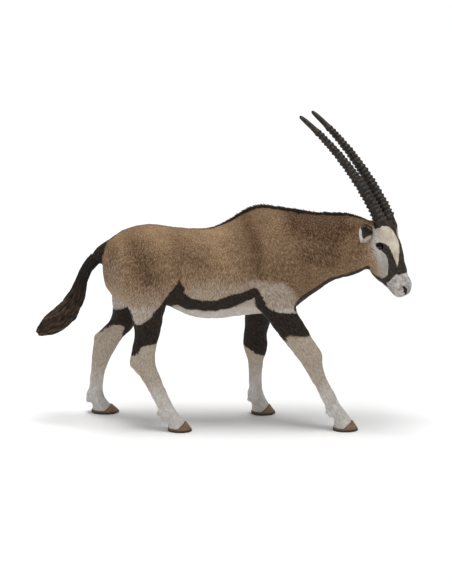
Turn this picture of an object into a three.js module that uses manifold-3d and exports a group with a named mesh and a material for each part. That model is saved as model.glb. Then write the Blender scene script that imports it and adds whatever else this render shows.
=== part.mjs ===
// A gemsbok figurine: a solid plastic toy animal, moulded and hand painted, about 14 cm from nose to tail.
// It walks with its head low and turned to its right. Millimetres; +X forward, +Y the animal's left, +Z up.
// The body is modelled whole, from cross-sections joined by smooth curves, then parted by thin flat cuts.
import * as THREE from "three";
import { mergeVertices } from "three/addons/utils/BufferGeometryUtils.js";
import Module from "manifold-3d";

const wasm = await Module();
wasm.setup();

// Driving dimensions of the whole figure.
const GAP = 0.3; // the width of every parting cut
const HEAD_TURN = THREE.MathUtils.degToRad(30); // the head looks to the animal's right
const FACE_PITCH = THREE.MathUtils.degToRad(61); // how far below level the face points
const POLL = new THREE.Vector3(56.2, -3, 74.8); // the middle of the skull, where the face's axis starts
const NECK_BEND = 3.4; // how far the neck's end has swung to the right

// Cross-sections and closed skins.

// Rows of named values, made smooth by a Catmull-Rom curve through each value, with so many steps per row.
function smoothRows(rows, steps) {
  const curve = (a, b, c, d, t) =>
    0.5 * (2 * b + (c - a) * t + (2 * a - 5 * b + 4 * c - d) * t * t + (3 * b - a - 3 * c + d) * t * t * t);
  const made = [];
  for (let i = 0; i < rows.length - 1; i++) {
    const [a, b] = [rows[Math.max(i - 1, 0)], rows[i]];
    const [c, d] = [rows[i + 1], rows[Math.min(i + 2, rows.length - 1)]];
    for (let s = 0; s < steps; s++) {
      const row = {};
      for (const key of Object.keys(b)) row[key] = curve(a[key], b[key], c[key], d[key], s / steps);
      made.push(row);
    }
  }
  made.push({ ...rows[rows.length - 1] });
  return made;
}

// One closed ring: across and up are unit vectors, power 2 is an ellipse and more is squarer.
function ring(centre, across, up, halfAcross, reachUp, reachDown, powerUp, powerDown, sides) {
  const points = [];
  for (let i = 0; i < sides; i++) {
    const angle = (2 * Math.PI * (i + 0.5)) / sides;
    const [c, s] = [Math.cos(angle), Math.sin(angle)];
    const power = s > 0 ? powerUp : powerDown;
    const k = Math.pow(Math.pow(Math.abs(c), power) + Math.pow(Math.abs(s), power), -1 / power);
    points.push(
      centre
        .clone()
        .addScaledVector(across, halfAcross * k * c)
        .addScaledVector(up, (s > 0 ? reachUp : reachDown) * k * s),
    );
  }
  return points;
}

// A closed solid through rings of equal count, with a fan over each end.
function skinOver(rings) {
  const sides = rings[0].length;
  const points = rings.flat();
  const middle = (r) => r.reduce((sum, p) => sum.add(p), new THREE.Vector3()).divideScalar(sides);
  points.push(middle(rings[0]), middle(rings[rings.length - 1]));
  const [first, last] = [points.length - 2, points.length - 1];
  const index = [];
  for (let i = 0; i < sides; i++) {
    const j = (i + 1) % sides;
    for (let r = 0; r < rings.length - 1; r++) {
      const [a, b, c, d] = [r * sides + i, r * sides + j, (r + 1) * sides + j, (r + 1) * sides + i];
      index.push(a, b, c, a, c, d);
    }
    const end = (rings.length - 1) * sides;
    index.push(first, j, i, last, end + i, end + j);
  }
  const made = new THREE.BufferGeometry().setFromPoints(points);
  made.setIndex(index);
  return solid(made);
}

// A closed three.js geometry as a solid for joining and cutting, turned to face out.
function solid(geometry) {
  const bare = geometry.clone();
  bare.deleteAttribute("normal");
  bare.deleteAttribute("uv");
  const merged = mergeVertices(bare, 1e-4);
  const triVerts = new Uint32Array(merged.index.array);
  const vertProperties = merged.attributes.position.array;
  let volume = 0;
  const corner = (k) => new THREE.Vector3().fromArray(vertProperties, 3 * triVerts[k]);
  for (let k = 0; k < triVerts.length; k += 3) volume += corner(k).dot(corner(k + 1).cross(corner(k + 2)));
  if (volume < 0)
    for (let k = 0; k < triVerts.length; k += 3)
      [triVerts[k + 1], triVerts[k + 2]] = [triVerts[k + 2], triVerts[k + 1]];
  return new wasm.Manifold(new wasm.Mesh({ numProp: 3, vertProperties, triVerts }));
}

const join = (...solids) => solids.flat().reduce((a, b) => a.add(b));

// The largest closed surface of a solid, which leaves out loose scraps.
function largest(s) {
  return s.decompose().reduce((a, b) => (a.volume() > b.volume() ? a : b));
}

// A box from its lowest to its highest corner.
function block(low, high) {
  const size = high.clone().sub(low);
  const geometry = new THREE.BoxGeometry(size.x, size.y, size.z);
  const middle = low.clone().add(high).multiplyScalar(0.5);
  geometry.translate(middle.x, middle.y, middle.z);
  return solid(geometry);
}

// The part of a solid in front of a plane, from shift along the normal onwards.
function beyond(s, point, normal, shift) {
  const n = normal.clone().normalize();
  return s.trimByPlane([n.x, n.y, n.z], point.dot(n) + shift);
}
const behind = (s, point, normal, shift) => beyond(s, point, normal.clone().negate(), -shift);

// Trunk and neck, as upright cross-sections from the rump to the back of the skull.
// top and bottom are heights, wide is half the width, and waist is the height of the widest line.
const TRUNK_SIDES = 24;
const TRUNK = [
  { x: -45.6, top: 65.5, bottom: 58.5, wide: 3.2, waist: 62, crest: 2.0, keel: 2.0, swing: 0 },
  { x: -44.8, top: 68.6, bottom: 54.5, wide: 6.6, waist: 61, crest: 2.0, keel: 2.0, swing: 0 },
  { x: -42.6, top: 71.6, bottom: 50.8, wide: 9.4, waist: 60, crest: 2.0, keel: 2.1, swing: 0 },
  { x: -38.5, top: 74.6, bottom: 47.5, wide: 11.6, waist: 60, crest: 2.0, keel: 2.2, swing: 0 },
  { x: -33.0, top: 76.6, bottom: 46.2, wide: 12.2, waist: 60, crest: 2.0, keel: 2.2, swing: 0 },
  { x: -28.0, top: 77.2, bottom: 46.8, wide: 12.3, waist: 60, crest: 2.0, keel: 2.2, swing: 0 },
  { x: -22.0, top: 76.5, bottom: 46.9, wide: 12.0, waist: 60, crest: 2.0, keel: 2.2, swing: 0 },
  { x: -16.0, top: 75.8, bottom: 43.5, wide: 12.2, waist: 59, crest: 2.0, keel: 2.2, swing: 0 },
  { x: -8.0, top: 75.6, bottom: 41.6, wide: 12.6, waist: 57.5, crest: 2.0, keel: 2.3, swing: 0 },
  { x: 0.0, top: 77.3, bottom: 42.0, wide: 12.6, waist: 58, crest: 1.9, keel: 2.3, swing: 0 },
  { x: 7.0, top: 81.3, bottom: 42.8, wide: 12.2, waist: 59, crest: 1.75, keel: 2.2, swing: 0 },
  { x: 13.0, top: 83.6, bottom: 43.2, wide: 11.9, waist: 60, crest: 1.7, keel: 2.1, swing: 0 },
  { x: 19.0, top: 82.9, bottom: 43.4, wide: 11.6, waist: 60, crest: 1.75, keel: 2.0, swing: 0 },
  { x: 24.5, top: 82.4, bottom: 44.6, wide: 11.2, waist: 62, crest: 1.8, keel: 1.9, swing: 0.05 },
  { x: 29.0, top: 81.7, bottom: 48.4, wide: 10.0, waist: 64, crest: 1.8, keel: 1.9, swing: 0.15 },
  { x: 34.0, top: 81.2, bottom: 52.2, wide: 8.9, waist: 66, crest: 1.85, keel: 1.9, swing: 0.35 },
  { x: 40.0, top: 81.3, bottom: 56.6, wide: 8.0, waist: 68, crest: 1.9, keel: 1.9, swing: 0.55 },
  { x: 46.0, top: 81.4, bottom: 58.2, wide: 7.0, waist: 69, crest: 1.9, keel: 1.9, swing: 0.8 },
  { x: 51.0, top: 80.5, bottom: 60.6, wide: 6.0, waist: 70, crest: 2.0, keel: 1.9, swing: 1 },
  { x: 55.5, top: 77.6, bottom: 64.5, wide: 4.0, waist: 70.5, crest: 2.0, keel: 2.0, swing: 1.1 },
];

// Muscles and hollows of the flanks: each pushes both sides out by so much round one place.
const MUSCLES = [
  { x: 17, z: 66, long: 7, tall: 11, out: 1.3 }, // shoulder blade
  { x: 20, z: 53, long: 6, tall: 6, out: 0.8 }, // upper arm
  { x: 8.5, z: 60, long: 3, tall: 12, out: -0.7 }, // hollow behind the shoulder
  { x: -33, z: 62, long: 8, tall: 9, out: 0.7 }, // thigh
  { x: -20.5, z: 60, long: 3.4, tall: 8, out: -1.1 }, // hollow of the flank
  { x: -28, z: 73, long: 4, tall: 3, out: 0.6 }, // point of the hip
  { x: 30, z: 70, long: 3.5, tall: 9, out: -0.5 }, // hollow at the root of the neck
  { x: 50, z: 66, long: 4, tall: 5, out: 0.5 }, // cheek side of the throat
];

function trunk() {
  const [across, up] = [new THREE.Vector3(0, 1, 0), new THREE.Vector3(0, 0, 1)];
  const rings = smoothRows(TRUNK, 2).map((row) => {
    const centre = new THREE.Vector3(row.x, -NECK_BEND * row.swing, row.waist);
    const points = ring(
      centre, across, up, row.wide, row.top - row.waist, row.waist - row.bottom,
      row.crest, row.keel, TRUNK_SIDES,
    );
    for (const p of points) {
      const side = (p.y - centre.y) / row.wide;
      for (const m of MUSCLES) {
        const away = Math.hypot((p.x - m.x) / m.long, (p.z - m.z) / m.tall);
        p.y += side * m.out * Math.exp(-away * away);
      }
    }
    return points;
  });
  return skinOver(rings);
}

// Legs, as level cross-sections from inside the body down to the flat sole.
// back and front are where each section starts and ends along X, y is its middle and wide half its width.
const LEG_SIDES = 12;
const LEG_SQUARE = 2.2; // just squarer than an ellipse
const HIND_RIGHT = [
  { z: 67.5, back: -39.5, front: -27.5, y: -6.6, wide: 4.2 },
  { z: 61.0, back: -41.4, front: -24.0, y: -7.2, wide: 6.0 },
  { z: 54.0, back: -40.2, front: -21.4, y: -7.6, wide: 6.0 },
  { z: 48.6, back: -36.8, front: -21.8, y: -7.8, wide: 5.4 },
  { z: 45.0, back: -35.6, front: -23.0, y: -8.1, wide: 4.9 }, // stifle
  { z: 41.2, back: -34.4, front: -23.6, y: -8.5, wide: 4.3 },
  { z: 37.6, back: -33.9, front: -24.4, y: -8.9, wide: 3.8 },
  { z: 34.0, back: -34.5, front: -25.4, y: -9.3, wide: 3.4 },
  { z: 30.7, back: -35.1, front: -26.2, y: -9.7, wide: 3.1 },
  { z: 27.8, back: -35.9, front: -26.2, y: -10.0, wide: 3.1 }, // point of the hock
  { z: 25.4, back: -35.4, front: -25.9, y: -10.2, wide: 3.2 },
  { z: 22.3, back: -32.5, front: -24.7, y: -10.5, wide: 3.0 },
  { z: 18.4, back: -29.9, front: -23.2, y: -10.8, wide: 2.6 },
  { z: 14.6, back: -27.8, front: -21.5, y: -11.0, wide: 2.5 },
  { z: 10.7, back: -25.9, front: -19.7, y: -11.0, wide: 2.7 },
  { z: 7.6, back: -24.5, front: -18.0, y: -11.1, wide: 2.9 }, // fetlock
  { z: 5.0, back: -22.3, front: -15.6, y: -11.2, wide: 2.9 },
  { z: 2.7, back: -21.6, front: -13.9, y: -11.2, wide: 3.2 },
  { z: 1.0, back: -21.7, front: -12.6, y: -11.2, wide: 3.4 },
  { z: 0.0, back: -21.2, front: -12.5, y: -11.2, wide: 3.3 },
];
const HIND_LEFT = [
  { z: 64.0, back: -41.5, front: -30.5, y: 6.4, wide: 4.4 },
  { z: 57.0, back: -43.2, front: -28.5, y: 7.0, wide: 5.8 },
  { z: 50.0, back: -42.9, front: -28.6, y: 7.4, wide: 5.8 },
  { z: 45.0, back: -42.6, front: -30.4, y: 7.8, wide: 5.2 },
  { z: 41.3, back: -42.4, front: -32.4, y: 8.2, wide: 4.7 }, // stifle
  { z: 38.5, back: -43.1, front: -33.4, y: 8.5, wide: 4.3 },
  { z: 36.0, back: -44.8, front: -34.3, y: 8.8, wide: 3.9 },
  { z: 33.7, back: -47.2, front: -35.8, y: 9.1, wide: 3.5 },
  { z: 31.6, back: -49.5, front: -38.1, y: 9.4, wide: 3.2 }, // point of the hock
  { z: 28.8, back: -49.8, front: -39.8, y: 9.7, wide: 3.2 },
  { z: 24.8, back: -50.2, front: -42.3, y: 10.1, wide: 3.0 },
  { z: 20.8, back: -50.6, front: -44.2, y: 10.4, wide: 2.7 },
  { z: 16.0, back: -51.0, front: -45.7, y: 10.7, wide: 2.5 },
  { z: 11.4, back: -51.5, front: -46.5, y: 11.0, wide: 2.6 },
  { z: 8.2, back: -51.6, front: -46.2, y: 11.2, wide: 2.9 }, // fetlock
  { z: 5.6, back: -51.3, front: -45.0, y: 11.3, wide: 2.9 },
  { z: 3.7, back: -50.3, front: -43.1, y: 11.4, wide: 3.1 },
  { z: 1.8, back: -50.8, front: -41.0, y: 11.5, wide: 3.4 },
  { z: 0.7, back: -50.8, front: -40.1, y: 11.5, wide: 3.4 },
  { z: 0.0, back: -50.4, front: -40.4, y: 11.5, wide: 3.3 },
];
const FORE_RIGHT = [
  { z: 60.0, back: 12.5, front: 24.5, y: -6.4, wide: 4.6 },
  { z: 54.0, back: 11.0, front: 25.2, y: -7.0, wide: 5.2 },
  { z: 48.6, back: 11.6, front: 25.9, y: -7.6, wide: 5.0 },
  { z: 45.0, back: 13.4, front: 26.7, y: -8.0, wide: 4.7 }, // elbow
  { z: 41.4, back: 16.5, front: 28.9, y: -8.5, wide: 4.3 },
  { z: 37.6, back: 19.2, front: 31.1, y: -8.9, wide: 4.0 },
  { z: 34.1, back: 22.0, front: 33.3, y: -9.3, wide: 3.7 },
  { z: 30.7, back: 24.8, front: 35.4, y: -9.6, wide: 3.5 }, // knee
  { z: 28.0, back: 26.8, front: 35.9, y: -9.4, wide: 3.4 },
  { z: 24.6, back: 29.0, front: 36.0, y: -9.6, wide: 2.9 },
  { z: 20.7, back: 31.3, front: 37.4, y: -9.8, wide: 2.6 },
  { z: 16.9, back: 33.5, front: 39.3, y: -9.9, wide: 2.5 },
  { z: 13.1, back: 35.3, front: 41.3, y: -10.0, wide: 2.6 },
  { z: 10.0, back: 37.0, front: 42.8, y: -10.1, wide: 2.8 }, // fetlock
  { z: 6.9, back: 39.4, front: 45.2, y: -10.2, wide: 2.9 },
  { z: 4.2, back: 40.4, front: 47.1, y: -10.2, wide: 3.1 },
  { z: 2.2, back: 39.9, front: 48.5, y: -10.2, wide: 3.4 },
  { z: 0.8, back: 39.7, front: 49.3, y: -10.2, wide: 3.5 },
  { z: 0.0, back: 40.2, front: 49.1, y: -10.2, wide: 3.4 },
];
const FORE_LEFT = [
  { z: 58.0, back: 8.5, front: 20.5, y: 6.4, wide: 4.6 },
  { z: 52.0, back: 7.6, front: 20.5, y: 7.0, wide: 5.2 },
  { z: 46.5, back: 7.0, front: 19.4, y: 7.6, wide: 5.0 },
  { z: 41.0, back: 6.9, front: 17.8, y: 8.3, wide: 4.6 }, // elbow
  { z: 36.4, back: 7.0, front: 16.5, y: 8.8, wide: 4.1 },
  { z: 32.3, back: 6.6, front: 15.4, y: 9.3, wide: 3.7 },
  { z: 29.0, back: 6.3, front: 15.6, y: 9.3, wide: 3.5 }, // knee
  { z: 25.8, back: 6.8, front: 15.5, y: 9.5, wide: 3.4 },
  { z: 22.4, back: 8.0, front: 14.2, y: 9.7, wide: 3.0 },
  { z: 18.4, back: 8.5, front: 13.7, y: 9.8, wide: 2.6 },
  { z: 13.6, back: 8.5, front: 13.5, y: 9.9, wide: 2.5 },
  { z: 9.6, back: 8.6, front: 13.9, y: 10.0, wide: 2.8 }, // fetlock
  { z: 6.4, back: 9.2, front: 15.1, y: 10.1, wide: 2.9 },
  { z: 4.0, back: 9.8, front: 16.6, y: 10.1, wide: 3.1 },
  { z: 2.1, back: 9.5, front: 17.9, y: 10.1, wide: 3.4 },
  { z: 0.7, back: 9.4, front: 18.9, y: 10.1, wide: 3.5 },
  { z: 0.0, back: 9.8, front: 19.0, y: 10.1, wide: 3.4 },
];

function leg(levels) {
  const [along, left] = [new THREE.Vector3(1, 0, 0), new THREE.Vector3(0, 1, 0)];
  const rings = smoothRows(levels, 2).map((row) => {
    const half = (row.front - row.back) / 2;
    const centre = new THREE.Vector3(row.back + half, row.y, row.z);
    return ring(centre, along, left, half, row.wide, row.wide, LEG_SQUARE, LEG_SQUARE, LEG_SIDES);
  });
  return skinOver(rings);
}

// A tapered tuft along a bent line: flat, pointed, and closed.
function tuft(points, radius, flatness, tip, sides, steps) {
  const path = new THREE.CatmullRomCurve3(points);
  const frames = path.computeFrenetFrames(steps, false);
  const rings = [];
  for (let i = 0; i <= steps; i++) {
    const t = i / steps;
    const r = radius * ((1 - t) * (0.75 + t) + tip * t);
    const deep = r * flatness;
    rings.push(ring(path.getPoint(t), frames.normals[i], frames.binormals[i], r, deep, deep, 2, 2, sides));
  }
  return skinOver(rings);
}

// The pair of dewclaws behind each fetlock, under a short fringe.
const DEWCLAW = { radius: 1.25, apart: 1.4, tip: 0.35 };
function dewclaws(root, end, y) {
  return [-1, 1].map((side) => {
    const at = (p, spread) => new THREE.Vector3(p[0], y + side * DEWCLAW.apart * spread, p[1]);
    const middle = [(root[0] + end[0]) / 2 - 0.5, (root[1] + end[1]) / 2 + 0.4];
    return tuft([at(root, 0.7), at(middle, 0.9), at(end, 1)], DEWCLAW.radius, 1, DEWCLAW.tip, 7, 4);
  });
}

// The head, as cross-sections square to the face's axis, in the head's own turned frame.
// along runs from the poll to the muzzle, shift is towards the forehead, deep and wide are half sizes.
const turned = (forward, left, up) =>
  new THREE.Vector3(
    forward * Math.cos(HEAD_TURN) + left * Math.sin(HEAD_TURN),
    -forward * Math.sin(HEAD_TURN) + left * Math.cos(HEAD_TURN),
    up,
  );
const FACE = {
  axis: turned(Math.cos(FACE_PITCH), 0, -Math.sin(FACE_PITCH)),
  front: turned(Math.sin(FACE_PITCH), 0, Math.cos(FACE_PITCH)),
  left: turned(0, 1, 0),
};
const onFace = (along, front, left) =>
  POLL.clone()
    .addScaledVector(FACE.axis, along)
    .addScaledVector(FACE.front, front)
    .addScaledVector(FACE.left, left);

const HEAD_SIDES = 20;
const HEAD = [
  { along: -5.0, shift: 0.6, deep: 2.4, wide: 2.2, brow: 2, jaw: 2 },
  { along: -4.0, shift: 0.7, deep: 4.4, wide: 3.8, brow: 2, jaw: 2 },
  { along: -1.6, shift: 0.5, deep: 5.7, wide: 4.8, brow: 2.2, jaw: 2 },
  { along: 1.9, shift: 0.1, deep: 6.2, wide: 5.2, brow: 2.4, jaw: 2 },
  { along: 5.6, shift: -1.2, deep: 7.2, wide: 5.3, brow: 2.5, jaw: 1.9 },
  { along: 9.4, shift: -2.1, deep: 7.7, wide: 5.1, brow: 2.4, jaw: 1.8 },
  { along: 13.0, shift: -2.5, deep: 7.3, wide: 4.6, brow: 2.3, jaw: 1.8 },
  { along: 16.2, shift: -2.0, deep: 6.2, wide: 4.0, brow: 2.3, jaw: 1.9 },
  { along: 18.6, shift: -1.5, deep: 5.2, wide: 3.6, brow: 2.3, jaw: 2.0 },
  { along: 20.6, shift: -1.0, deep: 4.6, wide: 3.6, brow: 2.3, jaw: 2.2 },
  { along: 22.3, shift: -0.9, deep: 4.3, wide: 3.7, brow: 2.3, jaw: 2.3 },
  { along: 23.7, shift: -1.0, deep: 3.6, wide: 3.3, brow: 2.2, jaw: 2.2 },
  { along: 24.8, shift: -1.2, deep: 2.6, wide: 2.4, brow: 2.1, jaw: 2.1 },
  { along: 25.3, shift: -1.3, deep: 1.2, wide: 1.2, brow: 2, jaw: 2 },
];
// Bumps and hollows of both sides of the face, each a push along FACE.left.
const FEATURES = [
  { along: 6.0, front: 5.0, long: 3.2, tall: 2.0, out: 0.9 }, // brow
  { along: 10.0, front: 1.5, long: 3.5, tall: 2.5, out: 0.35 }, // cheekbone
  { along: 15.5, front: 1.5, long: 3.0, tall: 3.0, out: -0.45 }, // hollow of the muzzle
  { along: 9.5, front: -5.5, long: 4.0, tall: 2.8, out: 0.5 }, // jaw muscle
  { along: 22.3, front: 1.2, long: 1.6, tall: 1.6, out: 0.4 }, // nostril's wing
];
const EYE = { along: 4.9, front: 1.1, left: 4.5, radius: 1.4 };
const NOSTRIL = { along: 22.3, front: 1.9, left: 3.3, radius: 0.9 };

function head() {
  const rings = smoothRows(HEAD, 2).map((row) => {
    const centre = onFace(row.along, row.shift, 0);
    const points = ring(
      centre, FACE.left, FACE.front, row.wide, row.deep, row.deep, row.brow, row.jaw, HEAD_SIDES,
    );
    for (const p of points) {
      const offset = p.clone().sub(centre);
      const side = offset.dot(FACE.left) / row.wide;
      const front = row.shift + offset.dot(FACE.front);
      for (const f of FEATURES) {
        const near = Math.pow((row.along - f.along) / f.long, 2) + Math.pow((front - f.front) / f.tall, 2);
        p.addScaledVector(FACE.left, side * f.out * Math.exp(-near));
      }
    }
    return points;
  });
  return skinOver(rings);
}

// A ball of few faces.
function ball(centre, radius, rows) {
  const geometry = new THREE.SphereGeometry(radius, rows + 4, rows);
  geometry.translate(centre.x, centre.y, centre.z);
  return solid(geometry);
}

// Horns: a straight-backed arc that leans back and flattens, ringed for most of its length.
const HORN = {
  length: 52.5,
  startAngle: THREE.MathUtils.degToRad(63),
  endAngle: THREE.MathUtils.degToRad(33),
  base: { along: -0.7, front: 4.8, left: 3.0 },
  baseRadius: 2.2,
  tipRadius: 0.85,
  foot: 0.02, // where along the horn it parts from the skull
  spread: 1.6, // how much further apart the tips are than the bases, each side
  rings: 26,
  ringedTo: 0.78, // the share of the length that carries rings
  ringHeight: 0.34,
  sides: 10,
};
function hornPoint(t, side) {
  const steps = 24;
  let [back, up] = [0, 0];
  for (let i = 0; i < steps; i++) {
    const angle = THREE.MathUtils.lerp(HORN.startAngle, HORN.endAngle, (t * (i + 0.5)) / steps);
    back += (Math.cos(angle) * t * HORN.length) / steps;
    up += (Math.sin(angle) * t * HORN.length) / steps;
  }
  const foot = onFace(HORN.base.along, HORN.base.front, side * HORN.base.left);
  return foot.add(turned(-back, side * HORN.spread * t, up));
}
function hornDirection(t) {
  const angle = THREE.MathUtils.lerp(HORN.startAngle, HORN.endAngle, t);
  return turned(-Math.cos(angle), 0, Math.sin(angle));
}
function horn(side) {
  const across = turned(0, 1, 0);
  const stations = [{ t: -0.05, lift: -1.1 }, { t: -0.02, lift: -0.3 }, { t: 0.01, lift: 0.1 }];
  const first = 0.06; // above the smooth collar
  const pitch = HORN.ringedTo / HORN.rings;
  for (let i = 0; i < HORN.rings; i++) {
    const lift = HORN.ringHeight * (1 - 0.45 * (i / HORN.rings));
    stations.push({ t: first + i * pitch, lift: 0 }, { t: first + (i + 0.6) * pitch, lift });
  }
  for (const share of [0, 0.45, 0.85, 0.96, 1])
    stations.push({ t: THREE.MathUtils.lerp(first + HORN.ringedTo, 1, share), lift: 0, tip: share });
  const rings = stations.map(({ t, lift, tip = 0 }) => {
    const taper = THREE.MathUtils.lerp(HORN.baseRadius, HORN.tipRadius, Math.max(t, 0));
    const blunt = tip > 0.85 ? (tip > 0.98 ? 0.45 : 0.8) : 1;
    const radius = (taper + lift) * blunt;
    const up = hornDirection(t).clone().cross(across);
    return ring(hornPoint(t, side), across, up, radius * 0.94, radius, radius, 2, 2, HORN.sides);
  });
  return skinOver(rings);
}
// The clear room round the root of a horn, so that the skull stands off it.
function hornRoom(side) {
  const across = turned(0, 1, 0);
  const rings = [0, 0.08, 0.16].map((rise) => {
    const t = HORN.foot + rise;
    const radius = HORN.baseRadius + HORN.ringHeight + GAP;
    const front = hornDirection(t).cross(across);
    return ring(hornPoint(t, side), across, front, radius, radius, radius, 2, 2, HORN.sides);
  });
  return skinOver(rings);
}

// An ear: a broad leaf held out sideways and drooping, hollowed into a cup that opens forward.
const EAR = { base: { along: -3.8, front: 0.0, left: 3.7 }, long: 9.2, wide: 3.1, thick: 1.5, stub: 1.1 };
const EAR_SHAPE = [
  { t: -0.2, wide: 0.5, thick: 0.8 },
  { t: 0.0, wide: 0.55, thick: 0.85 },
  { t: 0.2, wide: 0.8, thick: 0.95 },
  { t: 0.45, wide: 1.0, thick: 0.85 },
  { t: 0.7, wide: 0.84, thick: 0.6 },
  { t: 0.88, wide: 0.48, thick: 0.42 },
  { t: 1.0, wide: 0.12, thick: 0.25 },
];
function ear(side, grow) {
  const root = onFace(EAR.base.along, EAR.base.front, side * EAR.base.left);
  const axis = turned(0.06, side * 0.82, -0.5).normalize();
  const face = turned(0.86, side * 0.2, 0.45);
  face.addScaledVector(axis, -face.dot(axis)).normalize();
  const across = axis.clone().cross(face);
  const leaf = (rows, scale, lift, extra) =>
    skinOver(
      smoothRows(rows, 2).map((row) => {
        const thick = EAR.thick * row.thick + extra;
        const centre = root.clone().addScaledVector(axis, row.t * EAR.long).addScaledVector(face, lift);
        return ring(centre, across, face, EAR.wide * row.wide * scale + extra, thick, thick, 2, 2, 12);
      }),
    );
  const scoop = leaf(EAR_SHAPE.slice(2), 0.8, EAR.thick * 0.75, 0);
  const outer = leaf(EAR_SHAPE, 1, 0, grow);
  return { body: grow ? outer : outer.subtract(scoop), root: root.addScaledVector(axis, EAR.stub), axis };
}

// The tail: a bent dock and a tuft of long overlapping locks.
const TAIL = [
  { x: -38.5, y: 0, z: 71.0, deep: 2.6, wide: 3.0 },
  { x: -43.0, y: 0.2, z: 68.6, deep: 2.7, wide: 2.7 },
  { x: -47.5, y: 0.6, z: 65.0, deep: 2.5, wide: 2.3 },
  { x: -51.5, y: 1.0, z: 60.2, deep: 2.2, wide: 2.1 },
  { x: -53.8, y: 1.4, z: 55.0, deep: 2.3, wide: 2.1 },
  { x: -55.4, y: 1.8, z: 49.6, deep: 2.9, wide: 2.4 },
  { x: -58.0, y: 2.2, z: 44.6, deep: 3.8, wide: 3.0 },
  { x: -61.6, y: 2.6, z: 40.4, deep: 4.2, wide: 3.2 },
  { x: -65.4, y: 3.0, z: 37.8, deep: 3.6, wide: 2.7 },
  { x: -68.2, y: 3.2, z: 35.6, deep: 2.2, wide: 1.8 },
  { x: -70.2, y: 3.4, z: 34.2, deep: 0.9, wide: 0.8 },
];
const TUFT = { locks: 13, radius: 1.2, steps: 4 };
const TUFT_START = 5; // the row of TAIL where the tuft begins
function tail() {
  const rows = smoothRows(TAIL, 2);
  const left = new THREE.Vector3(0, 1, 0);
  const rings = rows.map((row, i) => {
    const [before, after] = [rows[Math.max(i - 1, 0)], rows[Math.min(i + 1, rows.length - 1)]];
    const run = new THREE.Vector3(after.x - before.x, after.y - before.y, after.z - before.z).normalize();
    const up = run.clone().cross(left).normalize();
    return ring(new THREE.Vector3(row.x, row.y, row.z), left, up, row.wide, row.deep, row.deep, 2, 2, 12);
  });
  return skinOver(rings);
}
function tuftLocks() {
  const locks = [];
  const left = new THREE.Vector3(0, 1, 0);
  const rows = smoothRows(TAIL, 2);
  for (let i = 0; i < TUFT.locks; i++) {
    const turn = i * 2.4; // a golden angle, so that no two locks line up
    const start = TUFT_START + 0.2 + 3.2 * (i / TUFT.locks);
    const points = [0, 0.35, 0.7, 1].map((share) => {
      const at = Math.min((start + share * 2.3) * 2, rows.length - 1.001);
      const [a, b] = [rows[Math.floor(at)], rows[Math.floor(at) + 1]];
      const mix = (key) => THREE.MathUtils.lerp(a[key], b[key], at % 1);
      const run = new THREE.Vector3(b.x - a.x, b.y - a.y, b.z - a.z).normalize();
      const up = run.clone().cross(left).normalize();
      const out = 0.62 + 0.5 * share;
      return new THREE.Vector3(mix("x"), mix("y"), mix("z"))
        .addScaledVector(left, Math.cos(turn + 0.3 * share) * mix("wide") * out)
        .addScaledVector(up, Math.sin(turn + 0.3 * share) * mix("deep") * out);
    });
    locks.push(tuft(points, TUFT.radius, 0.7, 0.12, 6, TUFT.steps));
  }
  return locks;
}

// The mane: a low upright ridge along the crest from the loin to between the ears, toothed like short hair.
const MANE = {
  from: -4, to: 53, step: 0.8, half: 0.75, tall: 1.5, sunk: 0.5, under: 0.8, lean: 0.9, sides: 6,
};
const MANE_TEETH = [0.35, 1, 0.6, 0.2, 0.85, 0.5];
function mane() {
  const rows = smoothRows(TRUNK, 2);
  const rings = [];
  for (let x = MANE.from, i = 0; x <= MANE.to; x += MANE.step, i++) {
    const k = rows.findIndex((row) => row.x > x);
    const share = (x - rows[k - 1].x) / (rows[k].x - rows[k - 1].x);
    const mix = (key) => THREE.MathUtils.lerp(rows[k - 1][key], rows[k][key], share);
    const crest = new THREE.Vector3(x, -NECK_BEND * mix("swing"), mix("top") - MANE.sunk);
    const rise = Math.sin(Math.PI * Math.pow((x - MANE.from + 1) / (MANE.to - MANE.from + 3), 0.7));
    const tooth = 0.55 + 0.45 * MANE_TEETH[i % MANE_TEETH.length];
    const tall = MANE.tall * (0.3 + 0.7 * rise) * tooth + MANE.sunk;
    const [left, up] = [new THREE.Vector3(0, 1, 0), new THREE.Vector3(0, 0, 1)];
    const points = ring(crest, left, up, MANE.half, tall, MANE.under, 1.6, 2, MANE.sides);
    for (const p of points) p.x -= MANE.lean * Math.max(p.z - crest.z - MANE.sunk, 0);
    rings.push(points);
  }
  return skinOver(rings);
}

// Everything joined, then parted.
const SOLE = new THREE.Vector3(0, 0, 0.78); // the feet are modelled a little long and cut flat at this height
const NECK_CUT = { point: new THREE.Vector3(27, 0, 66), normal: new THREE.Vector3(1, 0, 0.28) };
const HEAD_CUT = { point: new THREE.Vector3(53.2, -3, 72), normal: new THREE.Vector3(0.96, -0.2, -0.05) };
const TAIL_CUT = { point: new THREE.Vector3(-48.3, 0, 64), normal: new THREE.Vector3(-0.72, 0, -0.7) };
const TUFT_CUT = { point: new THREE.Vector3(-54.9, 1.6, 51.2), normal: new THREE.Vector3(-0.3, 0, -0.95) };

const legs = [HIND_RIGHT, HIND_LEFT, FORE_RIGHT, FORE_LEFT].map((levels) =>
  beyond(leg(levels), SOLE, new THREE.Vector3(0, 0, 1), 0),
);
const figure = join(
  trunk(),
  legs,
  dewclaws([-24.4, 10.0], [-23.4, 4.6], -11.0),
  dewclaws([-50.6, 9.8], [-52.2, 5.0], 11.3),
  dewclaws([37.8, 10.8], [38.8, 5.9], -10.2),
  dewclaws([9.8, 10.4], [8.9, 5.8], 10.1),
);

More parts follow.
